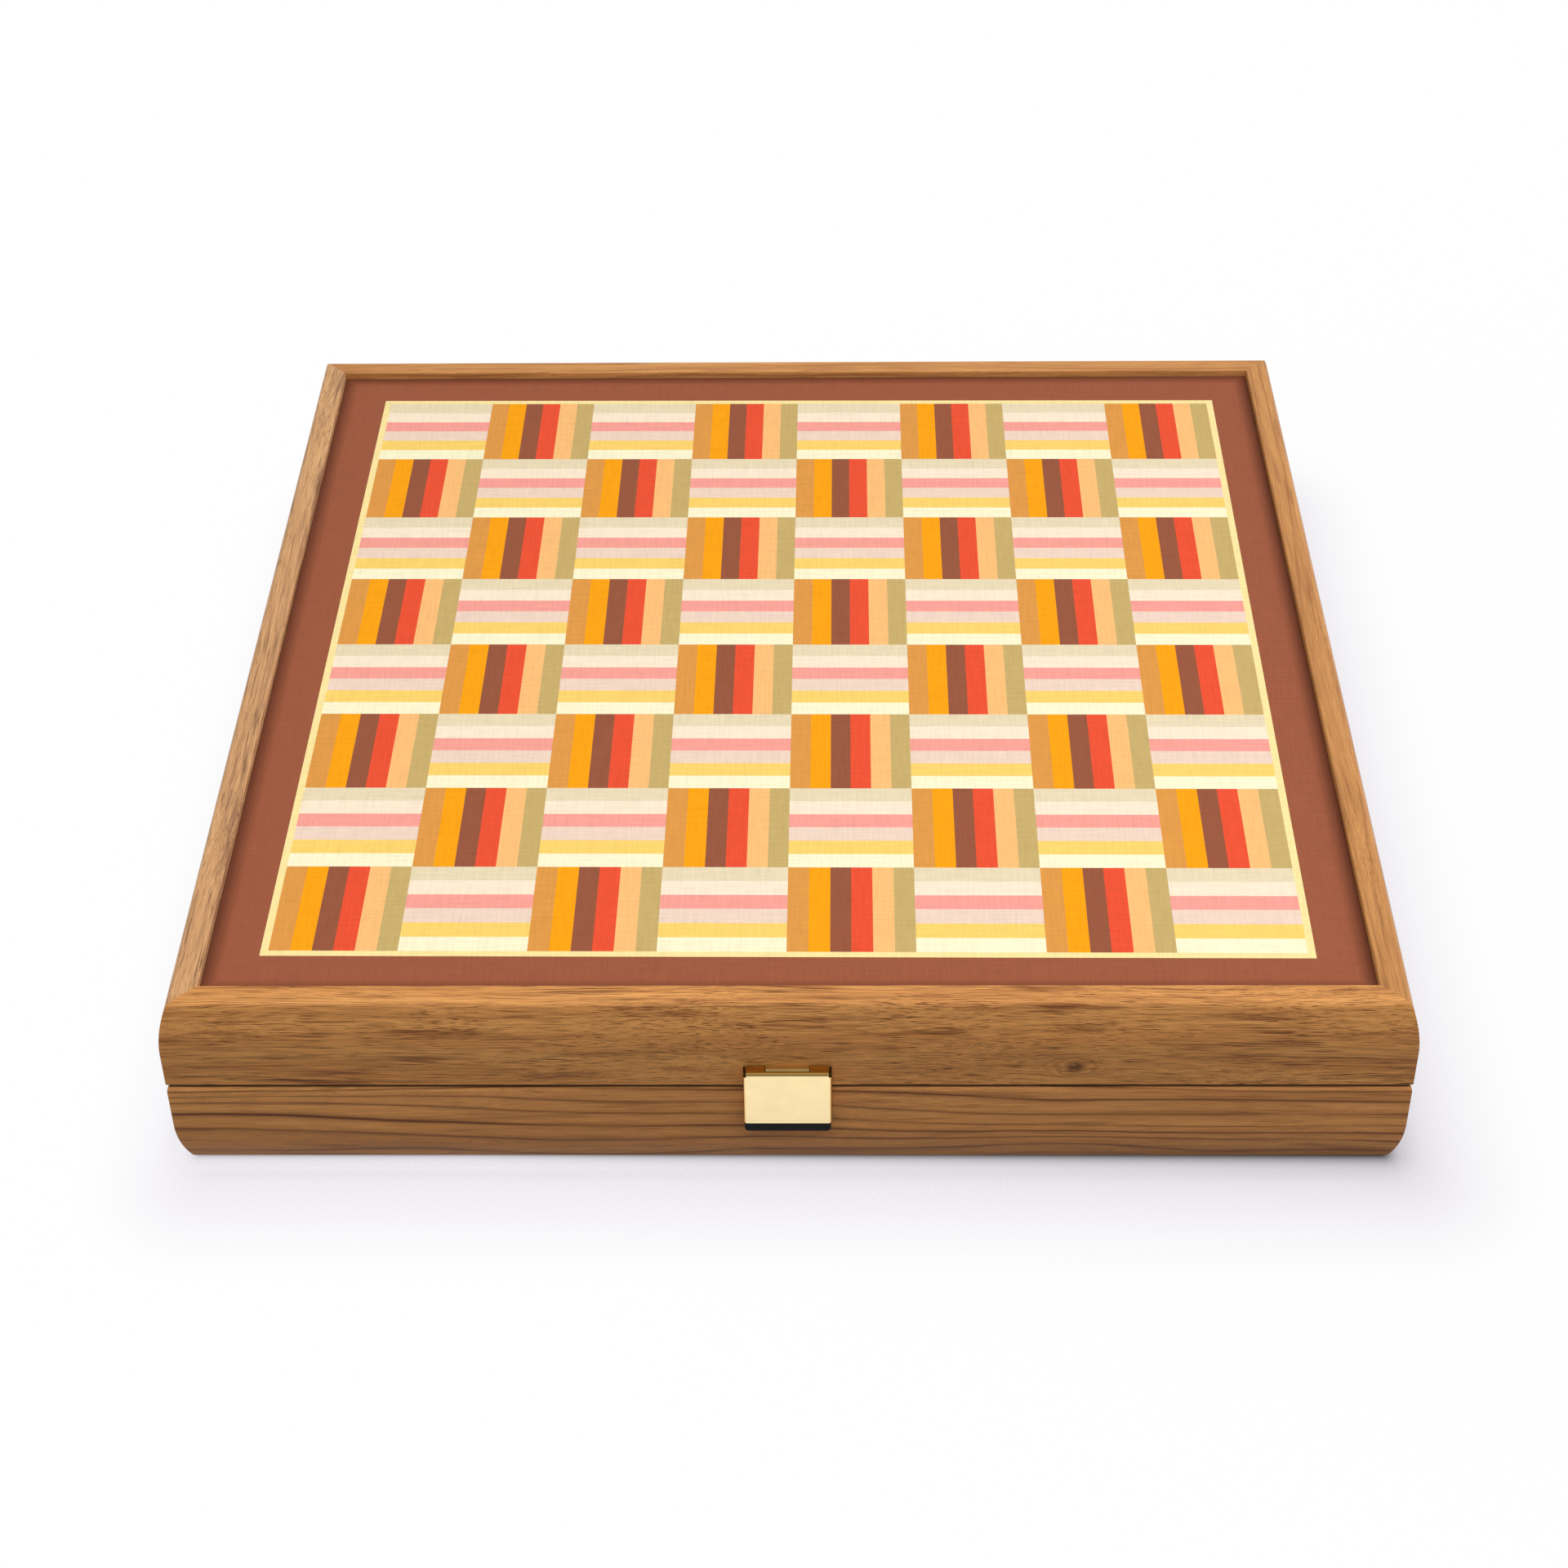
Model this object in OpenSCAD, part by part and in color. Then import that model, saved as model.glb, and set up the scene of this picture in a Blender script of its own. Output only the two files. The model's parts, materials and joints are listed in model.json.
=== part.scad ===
// Hinged wooden games case, closed: a board on the lid, a tray in each half and a brass flap clasp.
// Origin: centre of the footprint on the table. +X right, +Y towards the hinges, +Z up. Millimetres.

/* [Case] */
// Width of the closed case, left to right
case_w = 340; // [310:1:440]
// Depth of the closed case, clasp side to hinge side
case_d = 340; // [260:1:440]
// Height of the lid's rails
lid_h = 27.4; // [27:0.1:32]
// Height of the base's rails
base_h = 30.6; // [29:0.1:38]
// Gap left between lid and base when the case is shut
parting_gap = 0.5; // [0.3:0.1:1]

/* [Moulding] */
// Thickness of a rail at the parting
rail_t = 14; // [13:0.5:18]
// Width of wood outside the board, seen from above
lip_w = 10.6; // [8:0.2:11.8]
// Height over which the outer face leans in
lean_h = 16; // [10:0.5:18]
// Radius of the leaning face
face_r = 40; // [34:1:80]
// Radius of the edge between face and flat top
edge_r = 1.8; // [0.8:0.1:3]
// Radius of the lip's edge beside the board
lip_edge_r = 0.5; // [0.3:0.1:1.2]
// Radius of the base's edge under the parting
parting_edge_r = 2; // [0.5:0.1:2.2]

/* [Boards] */
// Depth of the lid's print below its rails
lid_recess = 2.4; // [1:0.1:3]
// Depth of the underside's print above the foot of the base's rails
base_recess = 3.6; // [2:0.1:5]
// Thickness of each board's core
core_t = 4; // [3:0.5:6]
// Thickness of each printed sheet
sheet_t = 0.5; // [0.3:0.1:1]
// Gap all round between a board and its rebate
board_gap = 0.2; // [0.1:0.05:0.4]

/* [Rack] */
// Diameter of a counter
counter_d = 30; // [24:0.5:34]
// Thickness of a counter
counter_t = 8; // [6:0.5:9]
// Counters in each colour
counter_count = 15; // [10:1:15]
// Play between a counter and each wall of the rack
rack_play = 1; // [0.5:0.1:3]
// Gap between neighbouring counters
counter_gap = 0.3; // [0.2:0.1:1]
// Thickness of the divider between rack and field
divider_t = 5; // [3:0.5:8]
// Edge of a die
die_w = 12; // [8:0.5:14]
// Radius of a pip
pip_r = 1.1; // [0.6:0.1:1.2]

/* [Hinges] */
// Distance of each hinge from the middle of the case
hinge_x = 100; // [50:1:110]
// Length of a hinge along its pin
hinge_w = 32; // [24:1:50]
// Depth of a leaf in the wood
leaf_d = 11; // [9.5:0.5:12]
// Thickness of a leaf
leaf_t = 1; // [0.8:0.1:1.4]
// Radius of the knuckles
knuckle_r = 1.95; // [1.6:0.05:2.4]
// Radius of the hinge pin
hinge_pin_r = 0.9; // [0.6:0.05:1.1]
// Knuckles on one hinge
knuckle_count = 5; // [3:2:7]
// Gap between knuckles
knuckle_gap = 0.15; // [0.1:0.05:0.3]

/* [Clasp] */
// Width of the flap
flap_w = 24; // [20:0.5:32]
// Height of the flap above the parting
flap_up = 8.3; // [8.2:0.1:10.5]
// Depth of the flap below the parting
flap_down = 10.2; // [10:0.1:12.5]
// Distance of the flap's face from the wood
flap_proud = 4.2; // [3.8:0.1:5.5]
// Thickness of the flap's sheet
flap_t = 0.5; // [0.4:0.05:0.7]
// Distance of the clasp's pin from the wood
clasp_pin_d = 1.75; // [1.7:0.05:2]
// Radius of the clasp's pin
clasp_pin_r = 0.5; // [0.4:0.05:0.6]
// Radius of the bracket's barrel
barrel_r = 1.05; // [0.95:0.05:1.1]
// Length of the bracket's barrel
barrel_w = 11.8; // [9:0.2:14]
// Thickness of the bracket's plate
bracket_t = 0.8; // [0.75:0.05:1]
// Height of the magnet holder's lip below the flap
holder_lip = 3.1; // [2:0.1:5]
// Thickness of the keeper plate
keeper_t = 0.9; // [0.6:0.1:1]

/* [Fits] */
// Running clearance round a pin
pin_clear = 0.05; // [0.02:0.01:0.1]
// Clearance between fitted flat faces
fit_clear = 0.1; // [0.05:0.05:0.2]

/* [Hidden] */
half_w = case_w / 2;
half_d = case_d / 2;
lid_z = base_h + parting_gap;
total_h = lid_z + lid_h;
axis_z = base_h + parting_gap / 2;
inner_w = case_w - 2 * rail_t;
inner_d = case_d - 2 * rail_t;
over = 1; // how far a cut runs past the face it opens
mitre_depth = rail_t + over;

// Board stack: what the rails' heights leave beside it is the depth of each tray
board_t = core_t + 2 * sheet_t;
lid_tray = lid_h - lid_recess - board_t;
base_tray = base_h - base_recess - board_t;
lid_floor_z = lid_z + lid_tray;
base_floor_z = base_h - base_tray;
panel_w = case_w - 2 * (lip_w + board_gap);
panel_d = case_d - 2 * (lip_w + board_gap);
tray_w = inner_w - 2 * board_gap;
tray_d = inner_d - 2 * board_gap;
lid_rebate = lid_h - lid_tray - sheet_t;
base_rebate = base_h - base_tray - sheet_t;
lid_core_z = lid_floor_z + sheet_t;
base_core_z = base_floor_z - sheet_t - core_t;

// Rack along the clasp side
rack_w = counter_d + 2 * rack_play;
rack_y = -inner_d / 2 + rack_w / 2;
divider_y = -inner_d / 2 + rack_w + divider_t / 2;
counter_pitch = counter_t + counter_gap;
rack_end_gap = 2;
divider_r = 1.2;
counter_rim_r = 1.2;
ring_inset = 4.2;
ring_wide = 4.2;
ring_out_r = counter_d / 2 - ring_inset;
ring_in_r = ring_out_r - ring_wide;
ring_depth = 0.5;
dice_gap = 0.6;
die_corner_r = 0.73 * die_w;
pip_depth = 0.4;

// Hinge
hinge_axis_out = knuckle_r + 2 * pin_clear;
hinge_y = half_d + hinge_axis_out;
leaf_off = 0.1;
knuckle_pitch = (hinge_w + knuckle_gap) / knuckle_count;
knuckle_len = knuckle_pitch - knuckle_gap;
leaf_screw_inset = 5;
leaf_screw_x = hinge_w / 2 - leaf_screw_inset;
leaf_screw_y = half_d - leaf_d / 2;
leaf_screws = 3;

// Screws
screw_r = 1;
screw_head_r = 1.8;
screw_l = 8;
slot_w = 0.4;
slot_depth = 0.3;
small_screw_r = 0.7;
small_head_r = 1.4;
small_head_t = 0.7;
small_screw_l = 7;

// Clasp, measured out from the wood (d) and up from the parting (z)
clasp_pin_z = flap_up - barrel_r;
swing_clear = 0.2;
swing_r = clasp_pin_d - swing_clear;
bend_r = flap_t;
flap_side = flap_w / 2;
flange_d = clasp_pin_d - sqrt(swing_r * swing_r - barrel_r * barrel_r);
window_d = clasp_pin_d + barrel_r + swing_clear;
window_w = barrel_w + 4 * fit_clear;
cheek_back = 0.4;
cheek_top_r = clasp_pin_d - cheek_back;
cheek_bend_r = 0.8;
cheek_foot = 1;
foot_corner_r = 1.2;
relief = 0.3;
notch_h = 2 * flap_t;
bracket_inset = 2;
bracket_w = flap_w - 2 * bracket_inset;
bracket_low = 0.7;
barrel_top = 0.6;
bracket_high = clasp_pin_z - swing_r - 2 * swing_clear;
bracket_screw_x = bracket_w / 2 - 2.6;
bracket_screw_z = (bracket_low + bracket_high) / 2;
holder_back = keeper_t + fit_clear;
holder_deep = flap_proud - flap_t - fit_clear - holder_back;
holder_w = flap_w - 2 * flap_t - 4 * fit_clear;
holder_lip_w = flap_w - 4 * fit_clear;
holder_high = -1;
keeper_w = flap_w - 6;
keeper_edge = 0.3;
keeper_high = -parting_edge_r - parting_gap / 2 - keeper_edge;
keeper_h = 7;
keeper_z = keeper_high - keeper_h / 2;
keeper_screw_x = keeper_w / 2 - 3.5;
magnet_w = flap_w - 8;
magnet_h = 5.5;
magnet_t = 1.6;
magnet_z = keeper_z;

wood = "#9a6a41";
inner_wood = "#8c5c38";
core_wood = "#c9a77c";
brass = "#e3c77d";
steel = "#b9bcc0";
plastic = "#1b1b1e";

function arc(cx, cy, r, a0, a1, n) = [for (i = [0:n])
    let (a = a0 + (a1 - a0) * i / n)
    [cx + r * cos(a), cy + r * sin(a)]];

// Outline of the moulded outer face and flat top of a rail of height h, in (inward, up), from the
// vertical wall to the lip's inner edge
function moulded_edge(h) =
    let (
        rise = lean_h - edge_r,
        run = sqrt(pow(face_r - edge_r, 2) - rise * rise),
        lean = asin(rise / (face_r - edge_r)))
    concat(
        arc(face_r, h - lean_h, face_r, 180, 180 - lean, 12),
        arc(face_r - run, h - edge_r, edge_r, 180 - lean, 90, 6),
        arc(lip_w - lip_edge_r, h - lip_edge_r, lip_edge_r, 90, 0, 5));

// Section of a lid rail: parting edge at the bottom, rebate for the board at the top
function lid_section() = concat(
    [[0, 0]],
    moulded_edge(lid_h),
    [[lip_w, lid_h - lid_rebate], [rail_t, lid_h - lid_rebate], [rail_t, 0]]);

// Section of a base rail, upside down: the lid's moulding with a rounded parting edge
function base_section() = concat(
    arc(parting_edge_r, parting_edge_r, parting_edge_r, 270, 180, 6),
    moulded_edge(base_h),
    [[lip_w, base_h - base_rebate], [rail_t, base_h - base_rebate], [rail_t, 0]]);

// A straight rail on the -Y side, cut to 45 degree mitres
module mitred_rail(section, length, half) {
    intersection() {
        translate([0, -half, 0])
            rotate([90, 0, 90])
                linear_extrude(length, center = true)
                    polygon(section);
        linear_extrude(lid_h + base_h)
            polygon([[-length / 2, -half], [length / 2, -half],
                [length / 2 - mitre_depth, -half + mitre_depth],
                [-length / 2 + mitre_depth, -half + mitre_depth]]);
    }
}

module lid_rail(length, half, turn) {
    translate([0, 0, lid_z])
        rotate([0, 0, turn])
            mitred_rail(lid_section(), length, half);
}

module base_rail(length, half, turn) {
    translate([0, 0, base_h])
        rotate([0, 0, turn])
            mirror([0, 0, 1])
                mitred_rail(base_section(), length, half);
}

// Flat plate centred on the case
module plate(w, d, z, t) {
    translate([-w / 2, -d / 2, z])
        cube([w, d, t]);
}

// Divider with rounded shoulders, standing on the floor of a tray of this depth
module divider(depth) {
    rotate([90, 0, 90])
        linear_extrude(tray_w, center = true)
            polygon(concat([[-divider_t / 2, 0]],
                arc(-divider_t / 2 + divider_r, depth - divider_r, divider_r, 180, 90, 5),
                arc(divider_t / 2 - divider_r, depth - divider_r, divider_r, 90, 0, 5),
                [[divider_t / 2, 0]]));
}

// A countersunk wood screw pointing down, its head's face at z = 0
module flat_screw(clear = 0) {
    difference() {
        union() {
            translate([0, 0, -(screw_head_r - screw_r)])
                cylinder(h = screw_head_r - screw_r, r1 = screw_r + clear, r2 = screw_head_r + clear,
                    $fn = 32);
            translate([0, 0, -screw_l - clear])
                cylinder(h = screw_l + clear, r = screw_r + clear, $fn = 32);
        }
        if (clear == 0)
            translate([-screw_head_r, -slot_w / 2, -slot_depth])
                cube([2 * screw_head_r, slot_w, slot_depth + over]);
    }
}

// A small domed screw pointing down, the underside of its head at z = 0
module dome_screw() {
    ball = (small_head_r * small_head_r + small_head_t * small_head_t) / (2 * small_head_t);
    difference() {
        union() {
            intersection() {
                translate([0, 0, small_head_t - ball])
                    sphere(r = ball, $fn = 48);
                cylinder(h = small_head_t, r = small_head_r, $fn = 32);
            }
            translate([0, 0, -small_screw_l])
                cylinder(h = small_screw_l + small_head_t / 2, r = small_screw_r, $fn = 32);
        }
        translate([-small_head_r, -slot_w / 2, small_head_t - slot_depth])
            cube([2 * small_head_r, slot_w, slot_depth + over]);
    }
}

// Children repeated at both hinges
module at_hinges() {
    for (side = [-1, 1])
        translate([side * hinge_x, 0, 0])
            children();
}

// Children repeated at the screws of one leaf, on the leaf's outward face (dir 1 up, -1 down)
module at_leaf_screws(dir) {
    pitch = 2 * leaf_screw_x / (leaf_screws - 1);
    for (i = [0:leaf_screws - 1])
        translate([-leaf_screw_x + i * pitch, leaf_screw_y, axis_z - dir * leaf_off])
            rotate([dir > 0 ? 0 : 180, 0, 0])
                children();
}

// Leaf of a butt hinge with its share of the knuckles (first = 0 or 1), lying below the axis for dir 1
module hinge_leaf(first, dir) {
    low = dir > 0 ? axis_z - leaf_off - leaf_t : axis_z + leaf_off;
    difference() {
        union() {
            translate([-hinge_w / 2, half_d - leaf_d, low])
                cube([hinge_w, leaf_d, leaf_t]);
            for (i = [first:2:knuckle_count - 1])
                translate([-hinge_w / 2 + i * knuckle_pitch, 0, 0]) {
                    translate([0, hinge_y, axis_z])
                        rotate([0, 90, 0])
                            cylinder(h = knuckle_len, r = knuckle_r, $fn = 48);
                    translate([0, half_d - over, low])
                        cube([knuckle_len, hinge_axis_out + over, leaf_t]);
                }
        }
        translate([-hinge_w, hinge_y, axis_z])
            rotate([0, 90, 0])
                cylinder(h = 2 * hinge_w, r = hinge_pin_r + pin_clear, $fn = 48);
        at_leaf_screws(dir)
            flat_screw(pin_clear);
    }
}

module hinge_pin() {
    translate([-hinge_w / 2, hinge_y, axis_z])
        rotate([0, 90, 0])
            cylinder(h = hinge_w, r = hinge_pin_r, $fn = 48);
}

// Pocket in the wood for one leaf, and the holes for its screws
module leaf_pocket(dir) {
    low = dir > 0 ? axis_z - leaf_off - leaf_t : axis_z + leaf_off - over;
    translate([-hinge_w / 2 - fit_clear, half_d - leaf_d - fit_clear, low])
        cube([hinge_w + 2 * fit_clear, leaf_d + over, leaf_t + over]);
    at_leaf_screws(dir)
        flat_screw(pin_clear);
}

// Places a clasp piece drawn with x right, y outwards from the wood and z up from the parting
module on_clasp() {
    translate([0, -half_d, axis_z])
        mirror([0, 1, 0])
            children();
}

// Extrudes a (d, z) outline along x, centred
module clasp_bar(w) {
    rotate([90, 0, 90])
        linear_extrude(w, center = true)
            children();
}

// Children as screws pointing into the wood, at +-x and height z, with the head's seat at distance d
module at_clasp_screws(x, z, d) {
    for (side = [-1, 1])
        translate([side * x, d, z])
            rotate([-90, 0, 0])
                children();
}

// Horizontal section of the folded flap: face and both cheeks, with bent corners
module flap_section() {
    difference() {
        polygon(concat(
            [[-flap_side, cheek_back]],
            arc(-flap_side + cheek_bend_r, flap_proud - cheek_bend_r, cheek_bend_r, 180, 90, 6),
            arc(flap_side - cheek_bend_r, flap_proud - cheek_bend_r, cheek_bend_r, 90, 0, 6),
            [[flap_side, cheek_back]]));
        translate([-flap_side + flap_t, -over])
            square([flap_w - 2 * flap_t, flap_proud - flap_t + over]);
    }
}

// Side outline of what is cut off the cheeks: the corner above the pin, left round, and the foot
module cheek_cuts() {
    polygon(concat(
        [[-over, clasp_pin_z]],
        arc(clasp_pin_d, clasp_pin_z, cheek_top_r, 180, 90, 8),
        [[clasp_pin_d, flap_up + over], [-over, flap_up + over]]));
    translate([-over, -flap_down - over])
        square([flap_proud - flap_t + over, over + cheek_foot]);
}

// Side outline of the flange, its bend and the top of the face
module flange_section() {
    polygon(concat(
        [[flange_d, flap_up - flap_t], [flap_proud - flap_t, flap_up - flap_t],
            [flap_proud - flap_t, flap_up - 2 * notch_h], [flap_proud, flap_up - 2 * notch_h]],
        arc(flap_proud - bend_r, flap_up - bend_r, bend_r, 0, 90, 6),
        [[flange_d, flap_up]]));
}

// Front outline, in (x, z down), of a plate w wide with rounded lower corners, z0 to z1 below the parting
module rounded_foot(w, z0, z1) {
    polygon(concat(
        [[-w / 2, z0]],
        arc(-w / 2 + foot_corner_r, z1 - foot_corner_r, foot_corner_r, 180, 90, 6),
        arc(w / 2 - foot_corner_r, z1 - foot_corner_r, foot_corner_r, 90, 0, 6),
        [[w / 2, z0]]));
}

module clasp_bracket() {
    color(brass) on_clasp() {
        difference() {
            union() {
                clasp_bar(barrel_w) {
                    translate([clasp_pin_d, clasp_pin_z])
                        circle(r = barrel_r, $fn = 48);
                    translate([0, bracket_low])
                        square([bracket_t, clasp_pin_z + barrel_top - bracket_low]);
                    translate([0, clasp_pin_z - barrel_r])
                        square([clasp_pin_d, barrel_r]);
                }
                translate([-bracket_w / 2, 0, bracket_low])
                    cube([bracket_w, bracket_t, bracket_high - bracket_low]);
            }
            translate([-flap_w, clasp_pin_d, clasp_pin_z])
                rotate([0, 90, 0])
                    cylinder(h = 2 * flap_w, r = clasp_pin_r + pin_clear, $fn = 48);
            at_clasp_screws(bracket_screw_x, bracket_screw_z, 0)
                cylinder(h = bracket_t + over, r = small_screw_r + pin_clear, $fn = 32);
        }
    }
}

module bracket_screws() {
    color(steel) on_clasp()
        at_clasp_screws(bracket_screw_x, bracket_screw_z, bracket_t)
            dome_screw();
}

module clasp_pin() {
    pin_l = flap_w - 2 * fit_clear;
    color(steel) on_clasp()
        translate([-pin_l / 2, clasp_pin_d, clasp_pin_z])
            rotate([0, 90, 0])
                cylinder(h = pin_l, r = clasp_pin_r, $fn = 48);
}

// Folded sheet: face, two cheeks that carry the pin, and a top flange with a window for the barrel
module clasp_flap() {
    color(brass) on_clasp() {
        difference() {
            union() {
                difference() {
                    translate([0, 0, -flap_down])
                        linear_extrude(flap_down + flap_up)
                            flap_section();
                    clasp_bar(flap_w + 2 * over)
                        cheek_cuts();
                    translate([-flap_side + flap_t, -over, flap_up - notch_h])
                        cube([flap_w - 2 * flap_t, flap_proud + 2 * over, notch_h + over]);
                }
                clasp_bar(flap_w - 2 * (flap_t + relief))
                    flange_section();
            }
            translate([-window_w / 2, -over, flap_up - 2 * flap_t])
                cube([window_w, window_d + over, 3 * flap_t]);
            translate([-flap_w, clasp_pin_d, clasp_pin_z])
                rotate([0, 90, 0])
                    cylinder(h = 2 * flap_w, r = clasp_pin_r + pin_clear, $fn = 48);
            rotate([-90, 0, 0])
                linear_extrude(2 * flap_proud)
                    difference() {
                        translate([-flap_w, flap_down - foot_corner_r])
                            square([2 * flap_w, 2 * foot_corner_r]);
                        rounded_foot(flap_w, 0, flap_down);
                    }
        }
    }
}

// Moulded block behind the flap with a lip below it and a pocket for the magnet
module magnet_holder() {
    color(plastic) on_clasp() {
        difference() {
            union() {
                translate([-holder_w / 2, holder_back, -flap_down - holder_lip / 2])
                    cube([holder_w, holder_deep, flap_down + holder_lip / 2 + holder_high]);
                translate([0, holder_back, 0])
                    rotate([-90, 0, 0])
                        linear_extrude(flap_proud - fit_clear - holder_back)
                            rounded_foot(holder_lip_w, flap_down + fit_clear, flap_down + holder_lip);
            }
            translate([-magnet_w / 2 - fit_clear, holder_back - over, magnet_z - magnet_h / 2 - fit_clear])
                cube([magnet_w + 2 * fit_clear, magnet_t + 2 * fit_clear + over, magnet_h + 2 * fit_clear]);
        }
    }
}

module clasp_magnet() {
    color(steel) on_clasp()
        translate([-magnet_w / 2, holder_back + fit_clear, magnet_z - magnet_h / 2])
            cube([magnet_w, magnet_t, magnet_h]);
}

module keeper_plate() {
    color(steel) on_clasp()
        difference() {
            translate([-keeper_w / 2, 0, keeper_z - keeper_h / 2])
                cube([keeper_w, keeper_t, keeper_h]);
            at_clasp_screws(keeper_screw_x, keeper_z, keeper_t)
                flat_screw(pin_clear);
        }
}

module keeper_screws() {
    color(steel) on_clasp()
        at_clasp_screws(keeper_screw_x, keeper_z, keeper_t)
            flat_screw();
}

// A turned counter lying on its side, its axis along x: rounded rim and a dished ring on each face
module counter() {
    difference() {
        rotate([0, 90, 0])
            rotate_extrude($fn = 64)
                difference() {
                    translate([0, -counter_t / 2])
                        square([counter_d / 2, counter_t]);
                    for (side = [-1, 1])
                        translate([counter_d / 2, side * counter_t / 2])
                            difference() {
                                square(2 * counter_rim_r, center = true);
                                translate([-counter_rim_r, -side * counter_rim_r])
                                    circle(r = counter_rim_r, $fn = 32);
                            }
                }
        for (side = [-1, 1])
            translate([side * counter_t / 2, 0, 0])
                rotate([0, 90, 0])
                    difference() {
                        cylinder(h = 2 * ring_depth, r = ring_out_r, center = true, $fn = 64);
                        cylinder(h = 3 * ring_depth, r = ring_in_r, center = true, $fn = 64);
                    }
    }
}

// A row of counters standing on edge in the rack, growing from the rack's end on this side
module counter_row(side) {
    for (i = [0:counter_count - 1])
        translate([side * (inner_w / 2 - rack_end_gap - counter_pitch * (i + 0.5)), rack_y,
            base_floor_z + counter_d / 2])
            counter();
}

// Places of the pips on one face, in units of the pip spacing
function pips(n) = concat(
    n % 2 == 1 ? [[0, 0]] : [],
    n >= 2 ? [[-1, -1], [1, 1]] : [],
    n >= 4 ? [[-1, 1], [1, -1]] : [],
    n == 6 ? [[-1, 0], [1, 0]] : []);

// A die with turned corners; opposite faces add up to seven
module die() {
    faces = [[0, 0, 0, 1], [90, 0, 0, 2], [0, 90, 0, 3], [0, -90, 0, 4], [-90, 0, 0, 5], [180, 0, 0, 6]];
    difference() {
        intersection() {
            cube(die_w, center = true);
            sphere(r = die_corner_r, $fn = 64);
        }
        for (f = faces)
            rotate([f[0], f[1], f[2]])
                for (p = pips(f[3]))
                    translate([p[0] * die_w / 4, p[1] * die_w / 4, die_w / 2])
                        cylinder(h = 2 * pip_depth, r = pip_r, center = true, $fn = 24);
    }
}

module base_rail_front() {
    color(wood) difference() {
        base_rail(case_w, half_d, 0);
        on_clasp()
            at_clasp_screws(keeper_screw_x, keeper_z, keeper_t)
                flat_screw(pin_clear);
    }
}

module base_rail_back() {
    color(wood) difference() {
        base_rail(case_w, half_d, 180);
        at_hinges()
            leaf_pocket(1);
    }
}

module base_rail_left() {
    color(wood) base_rail(case_d, half_w, 270);
}

module base_rail_right() {
    color(wood) base_rail(case_d, half_w, 90);
}

module lid_rail_front() {
    color(wood) difference() {
        lid_rail(case_w, half_d, 0);
        on_clasp()
            at_clasp_screws(bracket_screw_x, bracket_screw_z, 0)
                translate([0, 0, -small_screw_l])
                    cylinder(h = small_screw_l + over, r = small_screw_r + pin_clear, $fn = 32);
    }
}

module lid_rail_back() {
    color(wood) difference() {
        lid_rail(case_w, half_d, 180);
        at_hinges()
            leaf_pocket(-1);
    }
}

module lid_rail_left() {
    color(wood) lid_rail(case_d, half_w, 270);
}

module lid_rail_right() {
    color(wood) lid_rail(case_d, half_w, 90);
}

module base_core() {
    color(core_wood) plate(panel_w, panel_d, base_core_z, core_t);
}

module lid_core() {
    color(core_wood) plate(panel_w, panel_d, lid_core_z, core_t);
}

module board_sheet() {
    color("#e8b878") plate(panel_w, panel_d, lid_core_z + core_t, sheet_t);
}

module underside_sheet() {
    color("#a05e46") plate(panel_w, panel_d, base_core_z - sheet_t, sheet_t);
}

module base_field_sheet() {
    color("#a05e46") plate(tray_w, tray_d, base_floor_z - sheet_t, sheet_t);
}

module lid_field_sheet() {
    color("#a05e46") plate(tray_w, tray_d, lid_floor_z, sheet_t);
}

module base_divider() {
    color(inner_wood) translate([0, divider_y, base_floor_z])
        divider(base_tray);
}

module lid_divider() {
    color(inner_wood) translate([0, divider_y, lid_floor_z])
        mirror([0, 0, 1])
            divider(lid_tray);
}

module base_leaf(side) {
    color(brass) translate([side * hinge_x, 0, 0])
        hinge_leaf(0, 1);
}

module lid_leaf(side) {
    color(brass) translate([side * hinge_x, 0, 0])
        hinge_leaf(1, -1);
}

module case_pin(side) {
    color(steel) translate([side * hinge_x, 0, 0])
        hinge_pin();
}

module base_leaf_screws() {
    color(brass) at_hinges()
        at_leaf_screws(1)
            flat_screw();
}

module lid_leaf_screws() {
    color(brass) at_hinges()
        at_leaf_screws(-1)
            flat_screw();
}

module light_counters() {
    color("#f3e3c3") counter_row(-1);
}

module dark_counters() {
    color("#7a3f2c") counter_row(1);
}

module dice() {
    color("#fbf7ea")
        for (side = [-1, 1])
            translate([side * (die_w + dice_gap) / 2, rack_y, base_floor_z + die_w / 2])
                die();
}

base_rail_front();
base_rail_back();
base_rail_left();
base_rail_right();
base_core();
underside_sheet();
base_field_sheet();
base_divider();
lid_rail_front();
lid_rail_back();
lid_rail_left();
lid_rail_right();
lid_core();
board_sheet();
lid_field_sheet();
lid_divider();
base_leaf(-1);  // hinge_left_base_leaf
lid_leaf(-1);  // hinge_left_lid_leaf
case_pin(-1);  // hinge_left_pin
base_leaf(1);  // hinge_right_base_leaf
lid_leaf(1);  // hinge_right_lid_leaf
case_pin(1);  // hinge_right_pin
base_leaf_screws();
lid_leaf_screws();
clasp_bracket();
bracket_screws();
clasp_pin();
clasp_flap();
magnet_holder();
clasp_magnet();
keeper_plate();
keeper_screws();
light_counters();
dark_counters();
dice();
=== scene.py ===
import json
import math

import bmesh
import bpy
from mathutils import Matrix, Vector
from mathutils.geometry import tessellate_polygon

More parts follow.
